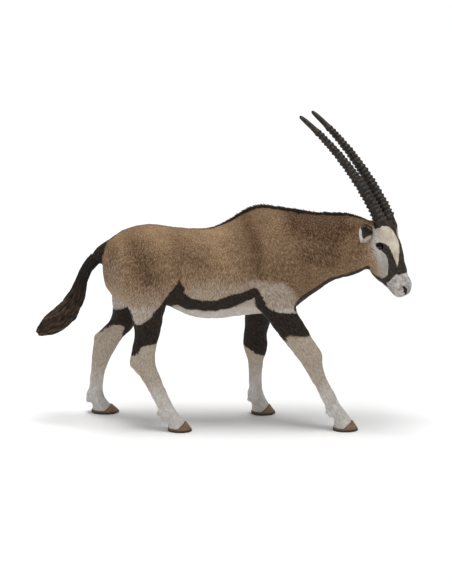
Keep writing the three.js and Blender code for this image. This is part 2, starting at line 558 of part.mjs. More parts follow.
// Each leg's block of space: all that is below its upper cut, on its own side of the middle.
const LEG_CUTS = {
  leg_hind_right: { at: -31, top: 45.8, slope: 0.36, side: -1, from: -60, to: -8 },
  leg_hind_left: { at: -36, top: 45.6, slope: 0.1, side: 1, from: -60, to: -27 },
  leg_fore_right: { at: 20, top: 42.8, slope: 0, side: -1, from: 5, to: 60 },
  leg_fore_left: { at: 13, top: 42.4, slope: 0, side: 1, from: 5, to: 60 },
};
function legSpace(cut, grow) {
  const inner = 0.5 - grow;
  const [low, high] = cut.side < 0 ? [-30, -inner] : [inner, 30];
  const column = block(
    new THREE.Vector3(cut.from - grow, low, -10),
    new THREE.Vector3(cut.to + grow, high, 60),
  );
  return behind(column, new THREE.Vector3(cut.at, 0, cut.top), new THREE.Vector3(cut.slope, 0, 1), grow);
}

const parts = {};
let body = figure;
for (const [name, cut] of Object.entries(LEG_CUTS)) {
  parts[name] = largest(figure.intersect(legSpace(cut, 0)));
  body = body.subtract(legSpace(cut, GAP));
}

// Hooves: a thin sole that thickens steeply into the toe, with a cleft between the two claws.
const HOOVES = {
  hoof_hind_right: { leg: "leg_hind_right", toe: -12.5, y: -11.2 },
  hoof_hind_left: { leg: "leg_hind_left", toe: -40.2, y: 11.5 },
  hoof_fore_right: { leg: "leg_fore_right", toe: 49.4, y: -10.2 },
  hoof_fore_left: { leg: "leg_fore_left", toe: 19.0, y: 10.1 },
};
const HOOF = { sole: 0.9, toeLong: 5.6, slope: 0.8, cleft: 0.6, cleftDepth: 3.4, tall: 6 };
for (const [name, foot] of Object.entries(HOOVES)) {
  const flat = [new THREE.Vector3(0, 0, SOLE.z + HOOF.sole), new THREE.Vector3(0, 0, 1)];
  const steep = [
    new THREE.Vector3(foot.toe - HOOF.toeLong, 0, SOLE.z + HOOF.sole),
    new THREE.Vector3(-HOOF.slope, 0, 1),
  ];
  const cleft = block(
    new THREE.Vector3(foot.toe - HOOF.cleftDepth, foot.y - HOOF.cleft / 2, -1),
    new THREE.Vector3(foot.toe + 2, foot.y + HOOF.cleft / 2, HOOF.tall),
  );
  const limb = parts[foot.leg];
  const shoe = join(behind(limb, ...flat, -GAP / 2), behind(limb, ...steep, -GAP / 2));
  parts[name] = largest(shoe.subtract(cleft));
  parts[foot.leg] = largest(beyond(beyond(limb, ...flat, GAP / 2), ...steep, GAP / 2));
}

// Head, neck and torso, with the mane's locks joined to the neck and the torso.
const hornFoot = (side) => [hornPoint(HORN.foot, side), hornDirection(HORN.foot)];
const stubs = [-1, 1].map((side) => behind(horn(side), ...hornFoot(side), 0));
const skull = join(head(), stubs);
const eyes = {
  eye_right: onFace(EYE.along, EYE.front, -EYE.left),
  eye_left: onFace(EYE.along, EYE.front, EYE.left),
};
const tailRoot = behind(tail(), TAIL_CUT.point, TAIL_CUT.normal, -GAP / 2);
const fullBody = join(body, skull, mane(), tailRoot);
let headSolid = beyond(fullBody, HEAD_CUT.point, HEAD_CUT.normal, GAP / 2);
// The cut's plane meets nothing else, and the largest piece beyond it is the head.
headSolid = largest(headSolid);
for (const [name, centre] of Object.entries(eyes)) {
  parts[name] = ball(centre, EYE.radius, 8);
  headSolid = headSolid.subtract(ball(centre, EYE.radius + GAP, 8));
}
for (const side of [-1, 1]) {
  const nostril = onFace(NOSTRIL.along, NOSTRIL.front, side * NOSTRIL.left);
  headSolid = headSolid.subtract(ball(nostril, NOSTRIL.radius, 5));
}
const earRoom = [];
for (const [name, side] of [["ear_right", -1], ["ear_left", 1]]) {
  const made = ear(side, 0);
  parts[name] = largest(beyond(made.body, made.root, made.axis, GAP / 2));
  earRoom.push(ear(side, GAP).body);
  headSolid = headSolid.subtract(beyond(earRoom.at(-1), made.root, made.axis, -GAP / 2));
  headSolid = join(headSolid, behind(made.body, made.root, made.axis, -GAP / 2)).subtract(hornRoom(side));
}
parts.head = largest(headSolid);
for (const [name, side] of [["horn_right", -1], ["horn_left", 1]])
  parts[name] = largest(beyond(horn(side), ...hornFoot(side), GAP));

const behindHead = behind(fullBody, HEAD_CUT.point, HEAD_CUT.normal, -GAP / 2);
const neck = beyond(behindHead, NECK_CUT.point, NECK_CUT.normal, GAP / 2);
parts.neck = largest(earRoom.reduce((left, room) => left.subtract(room), neck));
parts.torso = largest(behind(behindHead, NECK_CUT.point, NECK_CUT.normal, -GAP / 2));
const tailOut = beyond(join(tail(), tuftLocks()), TAIL_CUT.point, TAIL_CUT.normal, GAP / 2);
parts.tail = largest(behind(tailOut, TUFT_CUT.point, TUFT_CUT.normal, -GAP / 2));
parts.tail_tuft = largest(beyond(tailOut, TUFT_CUT.point, TUFT_CUT.normal, GAP / 2));

// Paint of each part.
const PAINT = {
  torso: 0x8a7258, neck: 0x7d654b, head: 0xb9b0a4, tail: 0x2c2622, tail_tuft: 0x2c2622,
  leg: 0xaaa39a, hoof: 0x7d6047, horn: 0x2b2725, ear: 0x8a7258, eye: 0x120f0e,
};
const group = new THREE.Group();
for (const [name, part] of Object.entries(parts)) {
  const raw = part.getMesh();
  const geometry = new THREE.BufferGeometry()
    .setAttribute("position", new THREE.BufferAttribute(new Float32Array(raw.vertProperties), 3))
    .setIndex(new THREE.BufferAttribute(new Uint32Array(raw.triVerts), 1));
  geometry.computeVertexNormals();
  const kind = name in PAINT ? name : name.split("_")[0];
  const material = new THREE.MeshStandardMaterial({
    color: PAINT[kind],
    roughness: kind === "eye" ? 0.15 : 0.6,
    metalness: 0,
  });
  const mesh = new THREE.Mesh(geometry, material);
  mesh.name = name;
  group.add(mesh);
}

// The origin is on the floor, under the middle of the whole figure.
const bounds = new THREE.Box3().setFromObject(group);
const middle = bounds.getCenter(new THREE.Vector3());
for (const mesh of group.children) mesh.position.set(-middle.x, -middle.y, -bounds.min.z);

export default group;
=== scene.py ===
import math

import bpy
import numpy as np
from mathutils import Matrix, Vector, noise


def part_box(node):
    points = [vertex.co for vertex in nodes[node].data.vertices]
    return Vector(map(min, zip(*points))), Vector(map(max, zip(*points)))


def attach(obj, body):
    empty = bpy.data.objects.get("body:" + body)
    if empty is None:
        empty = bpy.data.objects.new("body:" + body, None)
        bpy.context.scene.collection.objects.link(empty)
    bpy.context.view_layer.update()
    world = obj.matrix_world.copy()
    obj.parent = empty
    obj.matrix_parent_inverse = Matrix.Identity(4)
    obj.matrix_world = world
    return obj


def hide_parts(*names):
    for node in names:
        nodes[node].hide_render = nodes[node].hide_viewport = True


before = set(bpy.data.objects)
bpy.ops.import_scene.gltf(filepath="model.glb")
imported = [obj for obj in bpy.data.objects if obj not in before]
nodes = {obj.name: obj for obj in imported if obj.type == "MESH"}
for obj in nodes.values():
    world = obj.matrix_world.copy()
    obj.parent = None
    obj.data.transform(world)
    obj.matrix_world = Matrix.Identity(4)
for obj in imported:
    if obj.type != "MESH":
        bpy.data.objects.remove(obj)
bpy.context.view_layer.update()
bpy.context.scene.view_settings.view_transform = "Standard"

# The camera stands off the animal's right side, 16 degrees above level and 1.5 m away.
# Its lens is long, so that the near and far legs keep almost the same size.
DEGREES_ABOVE_LEVEL = 16
LENS = 318.6
bpy.ops.object.camera_add(
    location=(0.00094, -1.42949, 0.46), rotation=(math.radians(90 - DEGREES_ABOVE_LEVEL), 0, 0),
)
camera = bpy.context.object
camera.data.sensor_fit = "HORIZONTAL"
camera.data.sensor_width = 36
camera.data.lens = LENS
camera.data.clip_end = 10
bpy.context.scene.camera = camera


# The body is one soft PVC casting from a single mould: trunk, neck, head, legs and the stem of the tail.
# The solids that stand for it are copied, swollen over their thin parting gaps, fused and drawn back in,
# so that no seam shows.
def copied(name, *members):
    """One piece made of copies of CAD nodes, with their loose triangles merged."""
    bpy.ops.object.select_all(action="DESELECT")
    for member in members:
        twin = bpy.data.objects.new(name, nodes[member].data.copy())
        bpy.context.scene.collection.objects.link(twin)
        twin.select_set(True)
        bpy.context.view_layer.objects.active = twin
    if len(members) > 1:
        bpy.ops.object.join()
    piece = bpy.context.object
    piece.name = name
    piece.data.materials.clear()
    bpy.ops.object.mode_set(mode="EDIT")
    bpy.ops.mesh.select_all(action="SELECT")
    bpy.ops.mesh.remove_doubles(threshold=1e-6)
    bpy.ops.object.mode_set(mode="OBJECT")
    return piece


def swollen(grow, even):
    """Moves the skin of the active piece outwards by that many metres."""
    bpy.ops.object.mode_set(mode="EDIT")
    bpy.ops.mesh.select_all(action="SELECT")
    bpy.ops.transform.shrink_fatten(value=grow, use_even_offset=even)
    bpy.ops.object.mode_set(mode="OBJECT")


def fused(piece, grow, voxel, rounds, even=False):
    """Swells a piece, wraps it in one closed skin, draws that back in and smooths it, sizes in metres."""
    swollen(grow, even)
    piece.data.remesh_voxel_size = voxel
    piece.data.remesh_voxel_adaptivity = 0
    bpy.ops.object.voxel_remesh()
    swollen(-grow, even=False)
    relax = piece.modifiers.new("relax", "SMOOTH")
    relax.factor = 0.5
    relax.iterations = rounds
    bpy.ops.object.modifier_apply(modifier=relax.name)
    bpy.ops.object.shade_smooth()


def spots(piece):
    """The piece's points in millimetres, one row each."""
    flat = np.empty(len(piece.data.vertices) * 3, np.float32)
    piece.data.vertices.foreach_get("co", flat)
    return flat.reshape(-1, 3).astype(float) * 1000


def moved(piece, places):
    """Puts the piece's points at those places, in millimetres."""
    piece.data.vertices.foreach_set("co", (places / 1000).astype(np.float32).ravel())
    piece.data.update()


def normals(piece):
    """The direction in which the skin faces at each point."""
    flat = np.empty(len(piece.data.vertices) * 3, np.float32)
    piece.data.vertices.foreach_get("normal", flat)
    return flat.reshape(-1, 3).astype(float)


def painted(piece, name, values):
    """Keeps one number for each point, for the paint to read."""
    layer = piece.data.attributes.new(name, "FLOAT", "POINT")
    layer.data.foreach_set("value", np.asarray(values, np.float32))


# The head is moulded with the body, turned to its right and hanging. Its own frame, in millimetres, runs
# from the poll down the face, out of the face, and to the animal's left.
POLL = np.array([57.145, -4.171, 74.02])
HEAD_TURN = math.radians(30)
FACE_PITCH = math.radians(61)


def aimed(forward, left, up):
    """A direction given as the turned head sees it, in the frame of the whole animal."""
    return np.array([
        forward * math.cos(HEAD_TURN) + left * math.sin(HEAD_TURN),
        -forward * math.sin(HEAD_TURN) + left * math.cos(HEAD_TURN),
        up,
    ])


DOWN_FACE = aimed(math.cos(FACE_PITCH), 0, -math.sin(FACE_PITCH))
OUT_FACE = aimed(math.sin(FACE_PITCH), 0, math.cos(FACE_PITCH))
TO_LEFT = aimed(0, 1, 0)


def on_head(places):
    """How far places lie down the face, out of it, and to its left."""
    return (places - POLL) @ DOWN_FACE, (places - POLL) @ OUT_FACE, (places - POLL) @ TO_LEFT


# Each horn stands in a collar of the skull. It rises at 63 degrees from level and flattens evenly by 30
# degrees to its tip. Lengths are in millimetres. The curve is summed up from short steps.
HORN_LONG = 52.5
HORN_RISE = 63
HORN_BEND = 30
HORN_OPENING = 1.6
HORN_FLATNESS = 0.94
CURVE_STEPS = 24
COLLAR = [(-5.0, 0.9), (-3.4, 1.6), (-1.6, 2.1), (0.2, 2.3), (1.8, 2.15), (2.8, 1.5)]


def bent_horn(places, turn):
    """Lays a straight horn, standing on the origin, along the curve of the real one."""
    share = places[:, 2] / HORN_LONG
    angle = np.radians(HORN_RISE - HORN_BEND * share)
    steps = np.linspace(0, 1, CURVE_STEPS + 1)[:-1] + 0.5 / CURVE_STEPS
    trail = np.radians(HORN_RISE - HORN_BEND * share[:, None] * steps)
    back = np.cos(trail).mean(1) * share * HORN_LONG
    up = np.sin(trail).mean(1) * share * HORN_LONG
    foot = POLL - 0.7 * DOWN_FACE + 4.8 * OUT_FACE + 3.0 * turn * TO_LEFT
    front = aimed(1, 0, 0) * np.sin(angle)[:, None] + aimed(0, 0, 1) * np.cos(angle)[:, None]
    centre = foot + aimed(-1, 0, 0) * back[:, None] + aimed(0, 0, 1) * up[:, None]
    centre = centre + TO_LEFT * (HORN_OPENING * turn * share)[:, None]
    return centre + front * places[:, :1] + TO_LEFT * places[:, 1:2] * HORN_FLATNESS


def rod(name, sides, stations):
    """A straight closed rod up from the origin, through (height, radius) in millimetres."""
    bpy.ops.object.select_all(action="DESELECT")
    height, radius = stations[0]
    bpy.ops.mesh.primitive_circle_add(
        vertices=sides, radius=radius / 1000, fill_type="TRIFAN", location=(0, 0, height / 1000),
    )
    made = bpy.context.object
    made.name = name
    bpy.ops.object.transform_apply()
    bpy.ops.object.mode_set(mode="EDIT")
    bpy.ops.mesh.select_all(action="SELECT")
    for next_height, next_radius in stations[1:]:
        step = (next_height - height) / 1000
        bpy.ops.mesh.extrude_region_move(TRANSFORM_OT_translate={"value": (0, 0, step)})
        grow = next_radius / radius
        bpy.ops.transform.resize(value=(grow, grow, 1), center_override=(0, 0, next_height / 1000))
        height, radius = next_height, next_radius
    bpy.ops.mesh.select_all(action="SELECT")
    bpy.ops.mesh.normals_make_consistent()
    bpy.ops.object.mode_set(mode="OBJECT")
    return made


LEGS = ["leg_hind_right", "leg_hind_left", "leg_fore_right", "leg_fore_left"]
body = copied("moulded_body", "torso", "neck", "head", "tail", *LEGS)
for turn in (-1, 1):
    collar = rod("horn_collar", 16, COLLAR)
    moved(collar, bent_horn(spots(collar), turn))
    body.select_set(True)
    bpy.context.view_layer.objects.active = body
    bpy.ops.object.join()
fused(body, grow=0.0003, voxel=0.00052, rounds=16)

# The face is carved finer than the rest, so its part of the skin is split once more, for the lids,
# nostrils and mouth.
bpy.ops.object.mode_set(mode="EDIT")
bpy.ops.mesh.select_all(action="DESELECT")
bpy.ops.object.mode_set(mode="OBJECT")
places = spots(body)
down, out, left = on_head(places)
on_face = (down > -1) & (out > -7) & (places[:, 2] > 48) & (places[:, 0] > 53.5)
body.data.vertices.foreach_set("select", on_face)
bpy.ops.object.mode_set(mode="EDIT")
bpy.ops.mesh.select_mode(type="VERT")
bpy.ops.mesh.subdivide(number_cuts=1, smoothness=0.3)
bpy.ops.object.mode_set(mode="OBJECT")


# The sculptor's relief: shallow hollows and ridges of muscle in the master, and hair combed over them.
# Each runs along a line seen from the side, (x, z), with its half width and its height, in millimetres.
OUTSIDE = -9.0
DEEP_INSIDE = 9.0


def smooth_step(low, high, value):
    """Rises softly from 0 at low to 1 at high, or falls where low is the greater."""
    share = np.clip((value - low) / (high - low), 0, 1)
    return share * share * (3 - 2 * share)


def stroke(u, v, chain):
    """How deep each point lies inside a brush stroke through (u, v, half width), in millimetres."""
    depth = np.full(len(u), OUTSIDE)
    for (u0, v0, r0), (u1, v1, r1) in zip(chain, chain[1:]):
        du, dv = u1 - u0, v1 - v0
        share = np.clip(((u - u0) * du + (v - v0) * dv) / (du * du + dv * dv), 0, 1)
        away = np.hypot(u - u0 - share * du, v - v0 - share * dv)
        depth = np.maximum(depth, r0 + (r1 - r0) * share - away)
    return depth


def patch(u, v, outline):
    """How deep each point lies inside a closed outline of (u, v), in millimetres."""
    edge = np.full(len(u), DEEP_INSIDE)
    inside = np.zeros(len(u), bool)
    for (u0, v0), (u1, v1) in zip(outline, outline[1:] + outline[:1]):
        du, dv = u1 - u0, v1 - v0
        share = np.clip(((u - u0) * du + (v - v0) * dv) / (du * du + dv * dv), 0, 1)
        edge = np.minimum(edge, np.hypot(u - u0 - share * du, v - v0 - share * dv))
        if v0 != v1:
            inside ^= ((v0 > v) != (v1 > v)) & (u < du * (v - v0) / (v1 - v0) + u0)
    return np.where(inside, edge, -edge)


MUSCLES = (
    # A fold before the shoulder and one behind the jaw.
    ([(27.5, 81), (26.6, 74), (29.0, 67), (31.2, 60), (30.5, 54)], 1.6, -0.6),
    ([(46.5, 76), (45.6, 70), (45.4, 63)], 1.5, -0.45),
    # The shoulder blade, the hollow behind it and the upper arm.
    ([(22.5, 78), (23.0, 72), (25.5, 66)], 2.2, 0.3),
    ([(10.5, 80), (11.0, 72), (11.6, 64), (11.6, 57)], 1.8, -0.65),
    ([(15.5, 70), (16.0, 63), (17.5, 56)], 2.4, 0.35),
    # Grooves before and behind the thigh with a ridge between, the hollow flank and the fold of the stifle.
    ([(-32.6, 69), (-31.8, 62), (-29.4, 56), (-26.5, 52)], 2.6, -0.65),
    ([(-36.5, 68), (-36.3, 60), (-34.8, 53), (-32.0, 47)], 1.6, 0.5),
    ([(-42.0, 66), (-41.3, 57), (-39.0, 49)], 1.5, -0.5),
    ([(-17, 72), (-15.5, 65), (-16.6, 58)], 3.0, -0.75),
    ([(-29.5, 55.2), (-26.8, 54.4)], 0.7, -0.3),
    # The fold over the elbow and the long muscles of the neck.
    ([(14.5, 56.5), (20, 53.0), (26, 51.5)], 1.8, -0.25),
    ([(34, 76), (40, 72), (46, 66)], 2.5, 0.3),
    ([(36, 68), (43, 64), (49, 62)], 1.8, -0.3),
    # A scuff on the ribs.
    ([(2.0, 66.6), (2.9, 65.2), (4.5, 63.9)], 0.4, -0.22),
    ([(4.2, 67.4), (4.0, 65.8), (3.4, 64.6)], 0.4, 0.18),
    # The tendon grooves of the near legs, and the knee.
    ([(-29.8, 27), (-27.4, 20), (-24.4, 13.5), (-22.6, 8)], 0.7, -0.35),
    ([(32.2, 33), (35.2, 23.5), (39.6, 13.5)], 0.8, -0.3),
    ([(34.6, 32), (36.2, 29)], 1.0, 0.3),
)
places = spots(body)
facing = normals(body)
x, y, z = places.T
down, out, left = on_head(places)
side = np.abs(left)
lift = np.zeros(len(x))
for chain, wide, height in MUSCLES:
    away = -stroke(x, z, [(u, v, 0.0) for u, v in chain])
    lift += height * np.exp(-(away / wide) ** 2)
lift *= smooth_step(0.15, 0.6, np.abs(facing[:, 1]))
places += facing * lift[:, None]

# The stem of the tail is drawn in, to lie under the strands that are modelled later.
STEM_DRAWN_IN = 0.3
places -= facing * (STEM_DRAWN_IN * smooth_step(-46.5, -49, x) * (z > 32) * (y < 5))[:, None]

# The moulded hair is finer than the mesh can hold, so its larger lumps stand for it, drawn out upright.
# Each layer has its place in the noise, its lumps per millimetre across and along, and its height.
HAIR_LUMPS = ((0, 0.8, 0.33, 0.16), (40, 0.35, 0.2, 0.16))
for shift, across, along, high in HAIR_LUMPS:
    rough = [noise.noise((a * across + shift, b * across, c * along)) for a, b, c in places.tolist()]
    places += facing * (high * np.array(rough) * smooth_step(4, 12, z))[:, None]

# Lids, nostrils and mouth are cut into the same casting. The lids leave a slit over each eye, which is
# measured from the eye's centre, in millimetres.
SLIT_LONG = 0.95
SLIT_TALL = 0.42
SLIT_FLOOR = 0.8
LID_RADIUS = 1.15
LID_REACH = 3.4
NOSTRIL_DEEP = 0.55
LIPS_DEEP = 0.22
LIPS_WIDE = 0.28


def nostril_depth(down, out, side):
    """How deep each point lies inside the slanting oval of a nostril, in millimetres."""
    rows = [(22.0, 2.6, 0.4), (23.3, 2.15, 0.68), (24.5, 1.2, 0.42)]
    return np.where(out > -0.2, stroke(down, side, rows), OUTSIDE)


# The eye's centre is half the sum of the corners of its CAD box, turned to millimetres.
eyes = {name: np.array(sum(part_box(name), Vector())) * 500 for name in ("eye_right", "eye_left")}
for centre in eyes.values():
    turn = 1 if centre[1] > -6 else -1
    outward = TO_LEFT * turn * 0.93 + OUT_FACE * 0.3
    outward /= np.linalg.norm(outward)
    along = DOWN_FACE - outward * (DOWN_FACE @ outward)
    along /= np.linalg.norm(along)
    upward = np.cross(along, outward) * turn
    offset = places - centre
    reach = np.linalg.norm(offset, axis=1)
    close = (reach < LID_REACH) & (offset @ outward > -0.2)
    opening = (offset @ along / SLIT_LONG) ** 2 + (offset @ upward / SLIT_TALL) ** 2
    wanted = np.where(opening < 1, SLIT_FLOOR, np.maximum(reach, LID_RADIUS))
    wanted = np.where(opening > 5, reach, wanted)
    grown = offset * (wanted / np.maximum(reach, 0.01))[:, None]
    places[close] = centre + grown[close]
nostril = nostril_depth(down, out, side)
mouth = stroke(down, out, [(26.2, -0.9, 0), (25.0, -2.0, 0), (23.0, -2.7, 0), (20.8, -3.0, 0)])
on_front = (z > 46) & (x > 53)
places -= facing * (NOSTRIL_DEEP * smooth_step(-0.3, 0.2, nostril) * on_front)[:, None]
places -= facing * (LIPS_DEEP * np.exp(-(mouth / LIPS_WIDE) ** 2) * on_front * (side > 0.3))[:, None]
moved(body, places)

# The markings are brushed on by hand over the sprayed coat. Each is an outline or a stroke in millimetres,
# seen from the side as (x, z) or laid on the face, and the two sides meet at the parting.
PARTING = -1.2
places = spots(body)
x, y, z = places.T
down, out, left = on_head(places)
near, far = y < PARTING, y > PARTING
head = smooth_step(-2.5, 1.5, (places - [54.1, -4.2, 71.2]) @ [0.96, -0.2, -0.05]) * (x > 48) * (z > 46)
side = np.abs(left)


def only(where, depth):
    """The depth of a mark that is painted on one part alone."""
    return np.where(where, depth, OUTSIDE)


# Black of the flank, from the stifle to the elbow, and of the upper legs.
flank = stroke(x, z, [
    (-16.3, 57.8, 0.2), (-16.5, 54.4, 2.0), (-17.4, 51.6, 3.0), (-12.8, 48.9, 2.7), (-8, 48.3, 2.2),
    (-3, 48.3, 2.3), (2, 49.5, 2.4), (6, 51.2, 2.2), (11.6, 53.4, 1.8),
])
flank_rear = stroke(x, z, [(-17.4, 51.2, 3.0), (-21, 48.2, 1.9), (-24.5, 44.8, 1.9)])
flank_spur = stroke(x, z, [(-16.2, 58.2, 0.3), (-16.6, 54.5, 1.3)])
near_thigh = patch(x, z, [
    (-34.4, 46.5), (-33.4, 42.6), (-32.4, 41.1), (-30.4, 41.4), (-27, 43.6), (-25.2, 46.3), (-23.3, 48.4),
    (-19, 49.5), (-19, 42), (-22, 33.3), (-28.9, 33.6), (-30.8, 32.8), (-31.5, 30.8), (-33, 29.3), (-37, 29),
    (-40, 44),
])
far_thigh = patch(x, z, [
    (-50, 40.5), (-41.2, 41.9), (-38.5, 42.9), (-35.9, 43.7), (-30, 46), (-24, 47), (-24, 40), (-33, 30),
    (-38.7, 28.6), (-37.9, 32.6), (-37.1, 35.3), (-38.6, 36.2), (-40.5, 36.3), (-42.4, 35.4), (-46.3, 32.8),
    (-52, 31),
])
near_arm = patch(x, z, [
    (11.2, 55.4), (12.8, 52.1), (14.3, 50.1), (16.1, 48.4), (18, 47.1), (20.9, 46.2), (27.3, 44.8), (37, 45),
    (38, 36), (32.4, 36.1), (30.2, 36.9), (27.2, 36.9), (24.6, 37.4), (22.8, 36.4), (23.6, 34.4), (20, 36),
    (14.4, 44.6), (12.6, 46.1), (11.6, 48.5),
])
far_arm = patch(x, z, [
    (3, 28.8), (8.1, 27.2), (10, 25.9), (11.9, 24.8), (13.8, 23.9), (18, 22.5), (23, 36), (23, 47), (12, 50),
    (3, 43),
])
near_elbow = stroke(x, z, [(11.6, 53.7, 1.6), (13.0, 51.4, 1.5), (14.2, 49.0, 1.6)])
far_elbow = stroke(x, z, [(6, 51.2, 2.2), (12, 50.8, 2.2), (16, 46.5, 3.4)])
black = np.maximum.reduce([
    flank,
    flank_rear,
    flank_spur,
    only(near & (x < 0), near_thigh),
    only(far & (x < -8), far_thigh),
    only(near & (x > 0), near_arm),
    only(near, near_elbow),
    only(far & (x > 0), far_arm),
    only(far, far_elbow),
])

# Black of the throat: a stroke along its lower edge, filled in below.
throat = stroke(x, z, [
    (26.8, 46.8, 1.0), (30.3, 49.6, 1.7), (35.8, 53.0, 1.9), (39.5, 55.7, 1.9), (43.2, 56.6, 1.9),
    (46.9, 57.6, 2.0), (49.4, 59.0, 1.9), (53.2, 61.4, 1.0),
])
below = patch(x, z, [
    (26.8, 46.8), (30.3, 49.6), (35.8, 53.0), (39.5, 55.7), (43.2, 56.6), (46.9, 57.6), (49.4, 59.0),
    (53.2, 61.4), (53.2, 50), (35, 45), (28, 45),
])
black = np.maximum(black, only((x > 26) & (z > 45), np.maximum(throat, below)))

# Black of the crest: a line along the highest points of loin, withers and neck, where the mane stands.
CREST_STEP = 0.8
CREST_MIDDLE = -1.17
crest = []
for x0 in np.arange(-46, 52, CREST_STEP):
    close = (np.abs(x - x0) < 0.5) & (z > 60) & (np.abs(y - CREST_MIDDLE) < 4.5)
    crest.append(places[close][z[close] > z[close].max() - 0.12].mean(0))
crest = np.array(crest)
crest[2:-2] = sum(crest[i:len(crest) - 4 + i] for i in range(5)) / 5
nearest = np.full(len(x), 99.0)
for at in crest:
    nearest = np.minimum(nearest, np.linalg.norm(places - at, axis=1))
half = 1.05 * smooth_step(-14, 8, x) + 0.5 * smooth_step(-28, -34, x) + 0.6 * smooth_step(-38, -43, x)
black = np.maximum(black, half - nearest - 0.25)

# Black of the tail's root and stem.
tail_root = patch(x, z, [
    (-42.2, 72), (-43.3, 69), (-44.1, 66), (-44.8, 62.5), (-46, 60.5), (-49, 56), (-51, 48), (-53, 42),
    (-58, 36), (-75, 28), (-75, 75),
])
behind = np.where(x > -47.5, 2.7 - np.abs(y + 0.9), 5.5 - np.abs(y))
black = np.maximum(black, np.minimum(tail_root, behind))

# Black of the face: eye stripe, cheek line, nose patch, blaze and horn collar.
eye_stripe = patch(down, out, [
    (2.9, 0.2), (3.2, 1.9), (4.4, 3.5), (6.1, 4.3), (7.6, 4.25), (9.4, 4.0), (11.3, 3.6), (13.4, 3.2),
    (14.4, 2.9), (15.5, 5.5), (17.8, 5.5), (17.6, 3.6), (16.9, 2.2), (16.7, 1.2), (17.4, -0.8), (18, -2.3),
    (17.9, -3.9), (16.9, -5.2), (15.7, -5.9), (15.6, -5.0), (15.9, -3.4), (15.4, -1.5), (14.6, -0.9),
    (13.4, 0), (12.0, 1.0), (10.3, 1.7), (8.3, 2.0), (6.6, 1.2), (5.4, 0.4), (4.3, -0.3),
])
jaw_line = stroke(down, out, [
    (11.9, -8.9, 0.3), (13.6, -7.7, 0.85), (15.8, -6.0, 0.95), (18.0, -4.8, 0.9), (19.4, -4.4, 0.3),
])
blaze = patch(down, left, [
    (-6, -8), (-2.5, -8), (-2.3, -5), (-1.6, -4.5), (-0.8, -3.6), (0.2, -1.4), (1.6, -0.3), (3, 0.3),
    (4.5, 0.7), (5.9, 0.8), (7.4, 0.3), (8.7, -0.5), (10.3, -1.4), (11.9, -2.1), (13.5, -2.6), (14.3, -2.9),
    (14.8, -3.5), (17.2, -3.7), (17.6, 0), (17.2, 3.7), (14.8, 3.5), (13.5, 3.2), (11.9, 2.9), (10.3, 2.6),
    (8.7, 2.4), (7.4, 2.3), (5.9, 2.3), (4.5, 2.0), (3, 1.8), (1.8, 2.2), (0.9, 3.0), (0.2, 4.1), (-0.3, 5),
    (-0.8, 6), (-1.4, 8), (-6, 8),
])
face_black = np.maximum.reduce([only(out < 6, eye_stripe), only(out > 1.9, blaze), jaw_line])
black = np.maximum(black, only(head > 0.5, face_black))
nostril = only(head > 0.5, nostril_depth(down, out, side))

# White of belly, elbow, shins, haunch and cheek, as a share of cover. Above 1 the white hides the coat fully,
# below it the tan shows through along the strands. Down the tendon groove of the near hind leg the white is
# left off, as painted shade.
SHIN_COVER = 1.45
pale = smooth_step(-1.2, 1.2, patch(x, z, [
    (-21, 50), (-16, 47.5), (-9, 46), (-2, 46), (5, 48.5), (11.5, 52), (12, 50), (15, 44), (15, 38),
    (-30, 38),
]))
pale = np.maximum(pale, smooth_step(-1.6, 1.6, patch(x, z, [
    (9, 57.6), (13, 58.2), (18, 57.5), (22, 57.2), (25, 54.2), (27.2, 50.5), (27.6, 44), (12, 44),
])) * 0.85)
pale = np.maximum(pale, SHIN_COVER * smooth_step(38, 35, z))
# Painted shade: the tan is left bare along the tendon groove of the near hind leg.
tendon_painted_shade = stroke(x, z, [
    (-31.6, 26.0, 0.3), (-29.8, 21.0, 0.5), (-26.8, 16.0, 0.45), (-24.2, 11.5, 0.1),
])
pale -= np.where(near, 0.95 * smooth_step(-1.0, 0.7, tendon_painted_shade), 0.0)
pale = np.maximum(pale, 0.65 * smooth_step(60, 44, z) * smooth_step(-8, -20, x))
pale = np.maximum(pale, 0.75 * smooth_step(62, 51, z) * smooth_step(14, 8, x) * smooth_step(-17, -11, x))
pale = np.maximum(pale, 0.3 * smooth_step(70, 56, z) * smooth_step(-33, -40, x))
cheek = 1.2 * head * smooth_step(-5.7, 0.5, out + 0.35 * (down - 8))
cheek *= smooth_step(-2.8, -0.8, down + 0.4 * out)
pale = np.maximum(pale, cheek)

